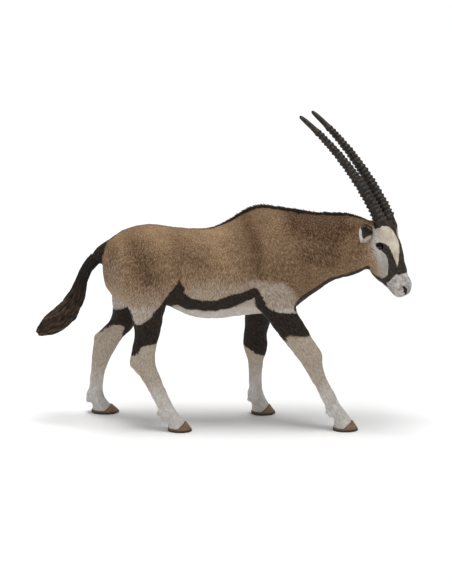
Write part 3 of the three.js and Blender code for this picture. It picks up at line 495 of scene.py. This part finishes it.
# Brown washes over the tan: a cape over neck and shoulder, sprayed soft as the coat's own colour,
# and brown laid into the hollows of the trunk and the fold behind the jaw as painted shade.
# Each is a stroke, (x, z, half width), with the softness of its edge in millimetres and its strength.
BROWN_WASHES_AND_PAINTED_SHADE = (
    # Haunch and flank: painted shade in the grooves of the thigh and the hollow of the flank.
    ([(-33, 71, 2.5), (-30, 65, 4.5), (-27, 59, 3.5)], 7.5, 1.1),
    ([(-41, 68, 3.0), (-42, 58, 2.5)], 5.0, 0.75),
    ([(-17, 73, 0.5), (-14, 67, 4.0), (-9, 65, 3.0)], 8.0, 0.85),
    ([(-16, 68, 1.0), (-16.8, 60.5, 0.8)], 3.0, 0.85),
    # Withers and shoulder: the dark withers, and painted shade in the hollow behind the shoulder blade.
    ([(5, 84, 1.5), (8.5, 79, 3.0), (12, 70, 3.2), (13.0, 61, 2.0)], 7.0, 1.2),
    ([(6, 87, 1.5), (24, 84, 2.0)], 4.5, 1.05),
    ([(13, 61, 2.0), (22, 60.5, 2.5), (29, 61, 1.5)], 4.5, 0.35),
    # Neck: the dark cape, and painted shade in the fold behind the jaw.
    ([(20, 86, 1.0), (28, 79, 6.0), (39, 77.5, 8.5), (46, 77, 3.5)], 7.0, 1.35),
    ([(32, 68, 5.0), (40, 67.5, 5.0)], 7.0, 1.0),
    ([(46, 77, 0.5), (45.4, 64, 0.5)], 2.6, 0.85),
    ([(30, 66, 3.0), (40, 64, 3.5)], 4.5, 0.95),
)
brown = 0.55 * smooth_step(-1, 10, x + 0.2 * (z - 68)) * smooth_step(54, 49, x)
brown -= 0.22 * smooth_step(-5, 5, stroke(x, z, [(19, 78, 2.5), (20, 70, 3.0)]))
# The sprayed brown and the painted shade of the hollows are laid on together.
for chain, soft, strength in BROWN_WASHES_AND_PAINTED_SHADE:
    brown = np.maximum(brown, strength * smooth_step(-soft, soft, stroke(x, z, chain)))
back_line = 0.5 * smooth_step(1.5, 0, np.abs(y - PARTING)) * (x < -2) * (z > 68)
brown = np.maximum.reduce([brown, back_line, np.zeros(len(x))])

# The whites differ: cool on feet, belly and face, steel on the cheek, cream over the eye, grey on the muzzle.
# "fore" is where the strands turn to lie forwards.
cool_feet = smooth_step(23, 10, z)
cool_face = head * smooth_step(-3.0, 0.5, out)
cool_belly = 0.75 * smooth_step(49, 46, z) * (z > 38)
steel_cheek = stroke(down, out, [(8.6, 0.5, 1.0), (11.3, 0.2, 1.4), (13.3, -1.2, 1.1)])
for name, values in (
    ("black", black),
    ("pale", pale),
    ("brown", brown),
    ("face", head),
    ("nostril", nostril),
    ("fore", smooth_step(6, 14, x)),
    ("cool", np.maximum.reduce([cool_feet, cool_face, cool_belly])),
    ("steel", head * smooth_step(-1.6, 1.6, steel_cheek)),
    ("cream", head * smooth_step(1.4, 4.6, out) * smooth_step(15.5, 13, down)),
    ("muzzle", head * smooth_step(16.0, 17.5, down)),
):
    painted(body, name, values)


def colour(text):
    """A linear colour from its sRGB hex value."""
    parts = [int(text[i:i + 2], 16) / 255 for i in (1, 3, 5)]
    return [c / 12.92 if c <= 0.04045 else ((c + 0.055) / 1.055) ** 2.4 for c in parts] + [1]


def add(material, kind, inputs, **settings):
    """One shader node, with its settings, and its sockets given a value or a link."""
    tree = material.node_tree
    made = tree.nodes.new("ShaderNode" + kind)
    for key, value in settings.items():
        setattr(made, key, value)
    for key, value in inputs.items():
        if isinstance(value, bpy.types.NodeSocket):
            tree.links.new(value, made.inputs[key])
        else:
            made.inputs[key].default_value = value
    return made.outputs


def new_material(name):
    """A material with an empty node tree."""
    material = bpy.data.materials.new(name)
    material.use_nodes = True
    material.node_tree.nodes.clear()
    return material


# Matt acrylic over PVC that is moulded as hair: chalky and without gloss, dark in the grooves and lighter
# where the brush dragged over the strands, so that the eye reads fur. The real strands are finer. They are
# drawn 0.3 mm wide and 1.3 mm long, to show in the render.
coat = new_material("matt_painted_pvc_hair")
place = add(coat, "TexCoord", {})["Object"]
attribute = {
    name: add(coat, "Attribute", {}, attribute_name=name)["Fac"]
    for name in ("black", "pale", "brown", "face", "nostril", "fore", "cool", "steel", "cream", "muzzle")
}


def hairs(lean, long, wide):
    """Noise drawn out into strands that lean by that angle from upright, sizes in metres."""
    laid = add(coat, "Mapping", {
        "Vector": place, "Rotation": (0, math.radians(lean), 0), "Scale": (wide, wide, long),
    }, vector_type="TEXTURE")["Vector"]
    return add(coat, "TexNoise", {"Vector": laid, "Scale": 1.0, "Detail": 2.5, "Roughness": 0.6})["Fac"]


def brushed_over(under, cover, grain, low, high):
    """Paint of two tones, mixed by a grain, laid over what is under it as far as its cover goes."""
    tone = add(coat, "MixRGB", {"Fac": grain, "Color1": colour(low), "Color2": colour(high)})["Color"]
    return add(coat, "MixRGB", {"Fac": cover, "Color1": under, "Color2": tone})["Color"]


# Strands lie back on the trunk and forwards on neck and shoulder, with finer ones between.
hair = add(coat, "MixRGB", {
    "Fac": attribute["fore"],
    "Color1": hairs(14, 0.0013, 0.0003),
    "Color2": hairs(-32, 0.0014, 0.0003),
})["Color"]
fine_hair = add(coat, "MixRGB", {
    "Fac": attribute["fore"],
    "Color1": hairs(10, 0.0008, 0.00024),
    "Color2": hairs(-28, 0.0008, 0.00024),
})["Color"]
strand_share = add(coat, "MapRange", {"Value": hair, "From Min": 0.4, "From Max": 0.6})["Result"]

# The sprayed tan is uneven in patches 3.8 mm across, and the brown is sprayed over it: the coat's own
# colour on neck and shoulder, and painted shade in the hollows.
PATCHES_PER_METRE = 260.0
patches = add(coat, "TexNoise", {
    "Vector": place, "Scale": PATCHES_PER_METRE, "Detail": 3.0, "Roughness": 0.6,
})["Fac"]
patch_share = add(coat, "MapRange", {"Value": patches, "From Min": 0.3, "From Max": 0.7})["Result"]
groove_tan = add(coat, "MixRGB", {
    "Fac": patch_share, "Color1": colour("#6f543b"), "Color2": colour("#81654b"),
})["Color"]
strand_tan = add(coat, "MixRGB", {
    "Fac": patch_share, "Color1": colour("#9b7e5e"), "Color2": colour("#af926f"),
})["Color"]
fur = add(coat, "MixRGB", {"Fac": strand_share, "Color1": groove_tan, "Color2": strand_tan})["Color"]
# Brown over the tan: sprayed colour, and painted shade where it lies in the hollows.
wash_and_shade = add(coat, "MapRange", {"Value": patches, "To Min": 0.55, "To Max": 1.25})["Result"]
wash_and_shade = add(coat, "Math", {0: attribute["brown"], 1: wash_and_shade}, operation="MULTIPLY", use_clamp=True)["Value"]
fur = brushed_over(fur, wash_and_shade, strand_share, "#392716", "#66462a")

# White, warm on the legs and cooler or creamier elsewhere. The brush left smears 3 mm across, and specks
# 1.6 mm across on the muzzle. Its edge frays into the coat along the strands.
SMEARS_PER_METRE = 330.0
SPECKS_PER_METRE = 620.0
smear = add(coat, "TexNoise", {
    "Vector": place, "Scale": SMEARS_PER_METRE, "Detail": 4.0, "Roughness": 0.6,
})["Fac"]
smear = add(coat, "MapRange", {"Value": smear, "From Min": 0.35, "From Max": 0.65})["Result"]
streaks = add(coat, "Math", {0: smear, 1: strand_share}, operation="ADD")["Value"]
streaks = add(coat, "Math", {0: streaks, 1: 0.5}, operation="MULTIPLY")["Value"]
speckle = add(coat, "TexNoise", {
    "Vector": place, "Scale": SPECKS_PER_METRE, "Detail": 4.0, "Roughness": 0.7,
})["Fac"]
speckle = add(coat, "MapRange", {"Value": speckle, "From Min": 0.4, "From Max": 0.62})["Result"]
chalk = add(coat, "MixRGB", {
    "Fac": strand_share, "Color1": colour("#9d8f7f"), "Color2": colour("#bcae9e"),
})["Color"]
for white, grain, low, high in (
    ("cool", streaks, "#aca59d", "#dcd8d3"),
    ("cream", smear, "#c4b6a2", "#e2d7c5"),
    ("steel", smear, "#9b9a95", "#b2b0a8"),
    ("muzzle", speckle, "#938c8a", "#d2ccc5"),
):
    chalk = brushed_over(chalk, attribute[white], grain, low, high)
frayed = add(coat, "Math", {0: hair, 1: -0.5}, operation="ADD")["Value"]
frayed = add(coat, "Math", {0: frayed, 1: 1.3}, operation="MULTIPLY")["Value"]
whitened = add(coat, "Math", {0: attribute["pale"], 1: frayed}, operation="ADD", use_clamp=True)["Value"]
fur = add(coat, "MixRGB", {"Fac": whitened, "Color1": fur, "Color2": chalk})["Color"]

# Black, thinner and browner on the face. Its edge wanders with the strands, and less so on the face.
ink = add(coat, "MixRGB", {
    "Fac": strand_share, "Color1": colour("#120e0b"), "Color2": colour("#352b23"),
})["Color"]
ink = brushed_over(ink, attribute["face"], strand_share, "#25201c", "#463d36")
wander = add(coat, "Math", {0: patches, 1: -0.5}, operation="ADD")["Value"]
wander = add(coat, "Math", {0: wander, 1: frayed}, operation="ADD")["Value"]
ragged = add(coat, "MapRange", {"Value": attribute["face"], "To Min": 1.9, "To Max": 0.5})["Result"]
ragged = add(coat, "Math", {0: wander, 1: ragged}, operation="MULTIPLY")["Value"]
edge = add(coat, "Math", {0: attribute["black"], 1: ragged}, operation="ADD")["Value"]
inked = add(coat, "MapRange", {"Value": edge, "From Min": -0.12, "From Max": 0.12})["Result"]
fur = add(coat, "MixRGB", {"Fac": inked, "Color1": fur, "Color2": ink})["Color"]
in_nostril = add(coat, "MapRange", {
    "Value": attribute["nostril"], "From Min": -0.1, "From Max": 0.1,
})["Result"]
fur = add(coat, "MixRGB", {"Fac": in_nostril, "Color1": fur, "Color2": colour("#2a2422")})["Color"]
bump = add(coat, "Bump", {"Height": hair, "Strength": 0.8, "Distance": 0.00026})["Normal"]
bump = add(coat, "Bump", {
    "Height": fine_hair, "Strength": 0.35, "Distance": 0.00012, "Normal": bump,
})["Normal"]
paint = add(coat, "BsdfPrincipled", {
    "Base Color": fur, "Roughness": 0.75, "Specular IOR Level": 0.2, "Normal": bump,
})["BSDF"]
add(coat, "OutputMaterial", {"Surface": paint})
body.data.materials.append(coat)
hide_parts("torso", "neck", "head", *LEGS)
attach(body, "root")

# The ears are leaves of the same PVC, moulded with the head and standing out sideways behind the horns.
# Their hollows are brushed black, with white and grey rims, and their backs are left tan.
EAR_DRAWN_IN = 0.07
for name in ("ear_right", "ear_left"):
    ear = copied(name + "_leaf", name)
    fused(ear, grow=0.0002, voxel=0.0002, rounds=4, even=True)
    turn = -1 if name == "ear_right" else 1
    root = POLL - 3.8 * DOWN_FACE + 3.7 * turn * TO_LEFT
    axis = aimed(0.06, turn * 0.82, -0.5)
    axis /= np.linalg.norm(axis)
    mouthward = aimed(0.86, turn * 0.2, 0.45)
    mouthward -= axis * (mouthward @ axis)
    mouthward /= np.linalg.norm(mouthward)
    offset = spots(ear) - root
    reach, across = offset @ axis, offset @ np.cross(axis, mouthward)
    open_side = normals(ear) @ mouthward
    rearward = -turn * across
    moved(ear, spots(ear) - axis * (EAR_DRAWN_IN * np.maximum(reach - 1, 0))[:, None])
    hollow = patch(reach, rearward, [
        (0.0, -2.2), (-0.2, 0.6), (0.5, 2.4), (1.8, 3.4), (3.2, 3.4), (4.5, 2.5), (5.8, 1.4), (6.8, 0.5),
        (7.0, 0.0), (6.3, -0.3), (5.0, -0.8), (3.8, -1.4), (2.6, -2.3), (1.0, -2.8),
    ])
    rim_white = smooth_step(3.2, 4.4, reach) * smooth_step(-0.3, 0.8, rearward)
    rim_grey = 0.45 * smooth_step(1.5, 3.0, reach)
    painted(ear, "black", only(open_side > 0, hollow + 0.35))
    painted(ear, "pale", np.maximum(rim_white, rim_grey) * smooth_step(-0.4, 0.2, open_side))
    painted(ear, "brown", 0.35 * smooth_step(0.2, -0.4, open_side) + 0.3 * smooth_step(0, 2, -rearward))
    painted(ear, "face", np.ones(len(reach)))
    painted(ear, "nostril", np.full(len(reach), OUTSIDE))
    painted(ear, "cool", np.ones(len(reach)))
    ear.data.materials.append(coat)
    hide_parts(name)
    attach(ear, "root")

# The mane is a strip of short stiff locks, moulded with the body along the crest of withers and neck.
# One six-sided lock is modelled and copied into three rows, laid back, each leaning a little otherwise.
MANE_START = -7
LOCK_STEP = 0.62
ROW_APART = 0.5
MANE_LOCK = [(-0.5, 0.42), (0.3, 0.5), (1.0, 0.42), (1.6, 0.26), (2.1, 0.08)]
draw = np.random.default_rng(7)


def planted(lock, places):
    """A copy of a lock of hair, with its own mesh, at those places."""
    twin = bpy.data.objects.new(lock.name, lock.data.copy())
    bpy.context.scene.collection.objects.link(twin)
    moved(twin, places)
    return twin


def gathered(name, locks):
    """Many locks joined into one piece."""
    bpy.ops.object.select_all(action="DESELECT")
    for twin in locks:
        twin.select_set(True)
    bpy.context.view_layer.objects.active = locks[0]
    bpy.ops.object.join()
    piece = bpy.context.object
    piece.name = name
    bpy.ops.object.shade_smooth()
    return piece


def on_mane(at):
    """The place so many millimetres along the line of the mane."""
    return np.array([np.interp(at, along, mane_line[:, k]) for k in range(3)])


mane_line = crest[crest[:, 0] > MANE_START]
along = np.cumsum([0.0] + [np.linalg.norm(b - a) for a, b in zip(mane_line, mane_line[1:])])
lock = rod("mane_lock", 6, MANE_LOCK)
shape = spots(lock)
bow = shape[:, 2] ** 2 * 0.1
locks = []
for at in np.arange(0.3, along[-1] - 0.2, LOCK_STEP):
    spot = on_mane(at)
    ahead = on_mane(at + 1) - spot
    ahead /= np.linalg.norm(ahead) + 1e-9
    leftward = np.cross([0, 0, 1], ahead)
    tall = 0.4 + 0.25 * smooth_step(0, 16, at) * smooth_step(along[-1], along[-1] - 5, at)
    for row in (-1, 0, 1):
        splay = 0.42 * row + draw.uniform(-0.12, 0.12)
        lean = math.radians(draw.uniform(50, 72))
        upward = np.cross(ahead, leftward) * math.cos(splay) + leftward * math.sin(splay)
        aim = upward * math.cos(lean) - ahead * math.sin(lean)
        broad = np.cross(aim, leftward)
        size = tall * draw.uniform(0.8, 1.15)
        foot = spot + leftward * (ROW_APART * row) - upward * (0.35 + 0.12 * abs(row))
        laid = shape[:, :1] * leftward + (shape[:, 1] - bow)[:, None] * broad + shape[:, 2:] * aim
        locks.append(planted(lock, foot + size * laid))
bpy.data.objects.remove(lock)
mane = gathered("mane_locks", locks)

# Matt black acrylic laid thin over PVC: its brown shows through in a grain of 0.8 mm, so that the locks
# don't read as one dark lump.
MANE_GRAINS_PER_METRE = 1200.0
mane_paint = new_material("matt_black_mane_paint")
place = add(mane_paint, "TexCoord", {})["Object"]
grain = add(mane_paint, "TexNoise", {
    "Vector": place, "Scale": MANE_GRAINS_PER_METRE, "Detail": 3.0,
})["Fac"]
tone = add(mane_paint, "MixRGB", {
    "Fac": grain, "Color1": colour("#17120f"), "Color2": colour("#382c24"),
})["Color"]
dents = add(mane_paint, "Bump", {"Height": grain, "Strength": 0.5, "Distance": 0.00015})["Normal"]
paint = add(mane_paint, "BsdfPrincipled", {
    "Base Color": tone, "Roughness": 0.7, "Specular IOR Level": 0.25, "Normal": dents,
})["BSDF"]
add(mane_paint, "OutputMaterial", {"Surface": paint})
mane.data.materials.append(mane_paint)
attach(mane, "root")

# The tail is moulded with the body: a slim black stem that swells into a tuft of long brown-black strands.
# The strands are grooves that wind down it, by the run along a line through its middle and the spin
# around that line.
TAIL_LINE = np.array([
    (-37.6, -1.2, 70.2), (-42.1, -1.0, 67.8), (-46.6, -0.6, 64.2), (-50.6, -0.2, 59.4), (-52.9, 0.2, 54.2),
    (-54.5, 0.6, 48.8), (-57.1, 1.0, 43.8), (-60.7, 1.4, 39.6), (-64.5, 1.8, 37.0), (-67.3, 2.0, 34.8),
    (-69.3, 2.2, 33.4),
])
tail = copied("tail_strands", "tail", "tail_tuft")
fused(tail, grow=0.0002, voxel=0.0003, rounds=4)
places = spots(tail)
best = np.full(len(places), 1e9)
run = np.zeros(len(places))
spin = np.zeros(len(places))
travelled = 0.0
for a, b in zip(TAIL_LINE, TAIL_LINE[1:]):
    step = np.linalg.norm(b - a)
    ahead = (b - a) / step
    share = np.clip((places - a) @ ahead / step, 0, 1)
    offset = places - a - share[:, None] * (b - a)
    gap = np.linalg.norm(offset, axis=1)
    upper = np.cross(ahead, [0, 1, 0])
    closer = gap < best
    best = np.where(closer, gap, best)
    run = np.where(closer, travelled + share * step, run)
    spin = np.where(closer, np.arctan2(offset @ upper, offset[:, 1]), spin)
    travelled += step
strands = np.sin(9 * spin + 0.5 * run + 1.5 * np.sin(0.35 * run)) + 0.6 * np.sin(15 * spin - 0.3 * run)
depth = 0.08 + 0.2 * smooth_step(18, 30, run)
moved(tail, places + normals(tail) * (depth * strands)[:, None])
painted(tail, "run", run)
painted(tail, "spin", spin)

# Matt black acrylic, dry-brushed brown where the tuft is full, so that its strands stand out of the grooves.
# A strand of paint is 2.9 mm long and 13 degrees of the way round, coarser than real hair, to show.
TUFT_STARTS = 22.0
TUFT_FULL = 34.0
soot = new_material("matt_black_brown_paint")
run = add(soot, "Attribute", {}, attribute_name="run")["Fac"]
spin = add(soot, "Attribute", {}, attribute_name="spin")["Fac"]
laid = add(soot, "CombineXYZ", {"X": run, "Y": spin})["Vector"]
laid = add(soot, "Mapping", {"Vector": laid, "Scale": (0.35, 4.5, 1)})["Vector"]
grain = add(soot, "TexNoise", {"Vector": laid, "Scale": 1.0, "Detail": 4.0, "Roughness": 0.6})["Fac"]
light = add(soot, "MapRange", {"Value": grain, "From Min": 0.42, "From Max": 0.7})["Result"]
tufted = add(soot, "MapRange", {"Value": run, "From Min": TUFT_STARTS, "From Max": TUFT_FULL})["Result"]
groove = add(soot, "MixRGB", {
    "Fac": tufted, "Color1": colour("#110d0a"), "Color2": colour("#1d1611"),
})["Color"]
ridge = add(soot, "MixRGB", {
    "Fac": tufted, "Color1": colour("#2f251e"), "Color2": colour("#5f4b39"),
})["Color"]
tone = add(soot, "MixRGB", {"Fac": light, "Color1": groove, "Color2": ridge})["Color"]
dents = add(soot, "Bump", {"Height": grain, "Strength": 0.6, "Distance": 0.0004})["Normal"]
paint = add(soot, "BsdfPrincipled", {
    "Base Color": tone, "Roughness": 0.7, "Specular IOR Level": 0.2, "Normal": dents,
})["BSDF"]
add(soot, "OutputMaterial", {"Surface": paint})
tail.data.materials.append(soot)
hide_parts("tail", "tail_tuft")
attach(tail, "root")

# The horns are PVC, fixed in the collars of the skull. Each has 26 sharp rings over its first four fifths
# and runs out smooth to a blunt tip. Lengths are shares of the horn, heights and radii are millimetres.
HORN_RINGS = 26
RINGS_START = 0.05
RINGS_LONG = 0.78
RING_HEIGHT = 0.76
ROOT_RADIUS = 2.2
TAPER = 1.32

# Satin black acrylic: a dull gloss that varies, worn to brown in spots, which picks out the rings.
# Its grain is 1.1 mm.
HORN_GRAINS_PER_METRE = 900.0
horn_paint = new_material("satin_black_horn_paint")
place = add(horn_paint, "TexCoord", {})["Object"]
grain = add(horn_paint, "TexNoise", {
    "Vector": place, "Scale": HORN_GRAINS_PER_METRE, "Detail": 4.0, "Roughness": 0.65,
})["Fac"]
wear = add(horn_paint, "MapRange", {"Value": grain, "From Min": 0.45, "From Max": 0.8})["Result"]
tone = add(horn_paint, "MixRGB", {
    "Fac": wear, "Color1": colour("#1d1813"), "Color2": colour("#554739"),
})["Color"]
rough = add(horn_paint, "MapRange", {"Value": grain, "To Min": 0.36, "To Max": 0.7})["Result"]
dents = add(horn_paint, "Bump", {"Height": grain, "Strength": 0.5, "Distance": 0.00015})["Normal"]
paint = add(horn_paint, "BsdfPrincipled", {
    "Base Color": tone, "Roughness": rough, "Specular IOR Level": 0.35, "Normal": dents,
})["BSDF"]
add(horn_paint, "OutputMaterial", {"Surface": paint})


def horn_stations():
    """(height, radius) from the root, sunk in the skull, to the tip."""
    pitch = RINGS_LONG / HORN_RINGS
    rows = [(-0.03, -0.5), (0.0, -0.2), (0.03, 0.0)]
    for ring in range(HORN_RINGS):
        height = RING_HEIGHT * (1 - 0.52 * ring / HORN_RINGS)
        start = RINGS_START + ring * pitch
        rows += [(start, -0.12), (start + 0.3 * pitch, 0.4 * height)]
        rows += [(start + 0.56 * pitch, height), (start + 0.74 * pitch, 0.35 * height)]
    rows += [(0.855, 0), (0.9, 0), (0.945, 0), (0.98, -0.12), (0.995, -0.35), (1.0, -0.65)]
    return [
        (share * HORN_LONG, ROOT_RADIUS - TAPER * max(share, 0) ** 1.13 + lift)
        for share, lift in rows
    ]


for name, turn in (("horn_right", -1), ("horn_left", 1)):
    horn = rod(name + "_ringed", 20, horn_stations())
    places = spots(horn)
    around = np.arctan2(places[:, 1], places[:, 0])
    ring = np.floor((places[:, 2] / HORN_LONG - RINGS_START) * HORN_RINGS / RINGS_LONG)
    ringed = (ring >= 0) & (ring < HORN_RINGS)
    uneven = 0.045 * np.sin(3 * around + 2.1 * ring) + 0.035 * np.sin(5 * around + 1.3 * ring + turn)
    places[:, :2] *= (1 + uneven * ringed)[:, None]
    places[:, 2] += 0.16 * np.sin(around + 0.9 * ring + turn) * ringed
    moved(horn, bent_horn(places, turn))
    rounder = horn.modifiers.new("rounder", "SUBSURF")
    rounder.levels = rounder.render_levels = 1
    bpy.ops.object.modifier_apply(modifier=rounder.name)
    bpy.ops.object.shade_smooth()
    horn.data.materials.append(horn_paint)
    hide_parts(name)
    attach(horn, "root")

# The hooves are the cloven ends of the moulded legs, of the same PVC, flat below so that the toy stands.
# Their upper faces are drawn up and back a little, to meet the skin of the leg.
HOOF_DRAWN_UP = (-0.0001, 0, 0.0004)

# Brown acrylic with a slight sheen, mottled at 1.4 mm, and a dark band within 1.2 mm of the ground:
# black paint on the sole and painted shadow where the hoof meets the floor.
HOOF_GRAINS_PER_METRE = 700.0
SOLE_PAINT_AND_SHADOW_FULL = 0.0006
SOLE_PAINT_AND_SHADOW_GONE = 0.0012
hoof_paint = new_material("matt_brown_hoof_paint")
place = add(hoof_paint, "TexCoord", {})["Object"]
grain = add(hoof_paint, "TexNoise", {
    "Vector": place, "Scale": HOOF_GRAINS_PER_METRE, "Detail": 3.0,
})["Fac"]
tone = add(hoof_paint, "MixRGB", {
    "Fac": grain, "Color1": colour("#64492f"), "Color2": colour("#947659"),
})["Color"]
# Darker towards the ground: the sole's black paint together with a painted shadow.
height = add(hoof_paint, "SeparateXYZ", {"Vector": place})["Z"]
clear_of_sole_shadow = add(hoof_paint, "MapRange", {
    "Value": height, "From Min": SOLE_PAINT_AND_SHADOW_FULL, "From Max": SOLE_PAINT_AND_SHADOW_GONE,
})["Result"]
tone = add(hoof_paint, "MixRGB", {"Fac": clear_of_sole_shadow, "Color1": colour("#2c221a"), "Color2": tone})["Color"]
dents = add(hoof_paint, "Bump", {"Height": grain, "Strength": 0.4, "Distance": 0.0002})["Normal"]
paint = add(hoof_paint, "BsdfPrincipled", {"Base Color": tone, "Roughness": 0.5, "Normal": dents})["BSDF"]
add(hoof_paint, "OutputMaterial", {"Surface": paint})
for leg in LEGS:
    name = leg.replace("leg", "hoof")
    hoof = copied(name + "_claws", name)
    bpy.ops.object.mode_set(mode="EDIT")
    bpy.ops.mesh.select_all(action="DESELECT")
    bpy.ops.object.mode_set(mode="OBJECT")
    for face in hoof.data.polygons:
        face.select = face.normal.z > 0.25
    bpy.ops.object.mode_set(mode="EDIT")
    bpy.ops.mesh.select_mode(type="FACE")
    bpy.ops.transform.translate(value=HOOF_DRAWN_UP)
    bpy.ops.object.mode_set(mode="OBJECT")
    fused(hoof, grow=0.00005, voxel=0.00022, rounds=9)
    places = spots(hoof)
    places[:, 2] = np.maximum(places[:, 2], 0)
    moved(hoof, places)
    hoof.data.materials.append(hoof_paint)
    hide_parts(name)
    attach(hoof, "root")

# The fetlock tufts are four points of hair behind each fetlock, moulded with the leg and hanging down.
# They are made as the mane's locks are, and painted with the coat's cool white.
FETLOCK_LOCK = [(-0.8, 0.5), (0.2, 0.62), (1.1, 0.5), (1.9, 0.28), (2.5, 0.08)]
FETLOCK_LOW = 5.0
FETLOCK_HIGH = 10.0
lock = rod("fetlock_lock", 6, FETLOCK_LOCK)
shape = spots(lock)
locks = []
for leg in LEGS:
    places = spots(nodes[leg])
    ankle = places[(places[:, 2] > FETLOCK_LOW) & (places[:, 2] < FETLOCK_HIGH)]
    heel = ankle[ankle[:, 0] < ankle[:, 0].min() + 0.8].mean(0)
    for side in (-1.3, -0.45, 0.45, 1.3):
        aim = np.array([-0.42 + draw.uniform(-0.1, 0.1), 0.18 * side, -0.9])
        aim /= np.linalg.norm(aim)
        across = np.cross(aim, [1.0, 0, 0])
        across /= np.linalg.norm(across)
        flat = np.cross(aim, across)
        foot = heel + [0.65 + 0.25 * abs(side), side, -0.3]
        size = draw.uniform(0.85, 1.15)
        laid = shape[:, :1] * across + 0.7 * shape[:, 1:2] * flat + shape[:, 2:] * aim
        locks.append(planted(lock, foot + size * laid))
bpy.data.objects.remove(lock)
tuft = gathered("fetlock_tufts", locks)
for name, value in (
    ("black", OUTSIDE), ("nostril", OUTSIDE), ("pale", SHIN_COVER), ("cool", 1.0), ("face", 0.0),
):
    painted(tuft, name, np.full(len(tuft.data.vertices), value))
tuft.data.materials.append(coat)
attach(tuft, "root")

# The eyes are drops of gloss enamel in the slits of the moulded lids, each a bead 1.6 mm across.
# Enamel is smooth and nearly black, so only a small highlight picks the eye out of its black stripe.
# Its tone varies at 0.4 mm.
EYE_RADIUS = 0.00082
EYE_GRAINS_PER_METRE = 2500.0
gloss = new_material("glossy_black_eye_paint")
place = add(gloss, "TexCoord", {})["Object"]
grain = add(gloss, "TexNoise", {"Vector": place, "Scale": EYE_GRAINS_PER_METRE, "Detail": 2.0})["Fac"]
tone = add(gloss, "MixRGB", {
    "Fac": grain, "Color1": colour("#0c0908"), "Color2": colour("#1c1512"),
})["Color"]
paint = add(gloss, "BsdfPrincipled", {
    "Base Color": tone, "Roughness": 0.3, "Specular IOR Level": 0.35,
})["BSDF"]
add(gloss, "OutputMaterial", {"Surface": paint})
for name, centre in eyes.items():
    bpy.ops.object.select_all(action="DESELECT")
    bpy.ops.mesh.primitive_uv_sphere_add(
        segments=32, ring_count=20, radius=EYE_RADIUS, location=centre / 1000,
    )
    bead = bpy.context.object
    bead.name = name + "_bead"
    bpy.ops.object.transform_apply()
    bpy.ops.object.shade_smooth()
    bead.data.materials.append(gloss)
    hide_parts(name)
    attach(bead, "root")

# The stage is a sheet of white paper under the toy: matt, so that it mirrors nothing and takes only the
# soft shadow.
bpy.ops.mesh.primitive_plane_add(size=6, location=(0, 0, 0))
floor = bpy.context.object
floor.name = "white_table"
table = new_material("white_table_paper")
paint = add(table, "BsdfPrincipled", {"Base Color": colour("#fafafa"), "Roughness": 0.9})["BSDF"]
add(table, "OutputMaterial", {"Surface": paint})
floor.data.materials.append(table)

# The light is a white room, which fills the shadows, and one broad lamp 4 m overhead, a little behind the
# animal's middle and to its right, which throws the soft shadow under it.
ROOM_LIGHT = 0.45
LAMP_WATTS = 117
LAMP_ACROSS = 1.7
world = bpy.data.worlds.new("studio_room")
bpy.context.scene.world = world
world.use_nodes = True
world.node_tree.nodes["Background"].inputs["Color"].default_value = (1, 1, 1, 1)
world.node_tree.nodes["Background"].inputs["Strength"].default_value = ROOM_LIGHT
bpy.ops.object.light_add(type="AREA", location=(-0.05, -0.1, 4))
lamp = bpy.context.object
lamp.data.energy = LAMP_WATTS
lamp.data.size = LAMP_ACROSS
lamp.rotation_euler = (Vector((0, 0, 0.05)) - lamp.location).to_track_quat("-Z", "Y").to_euler()
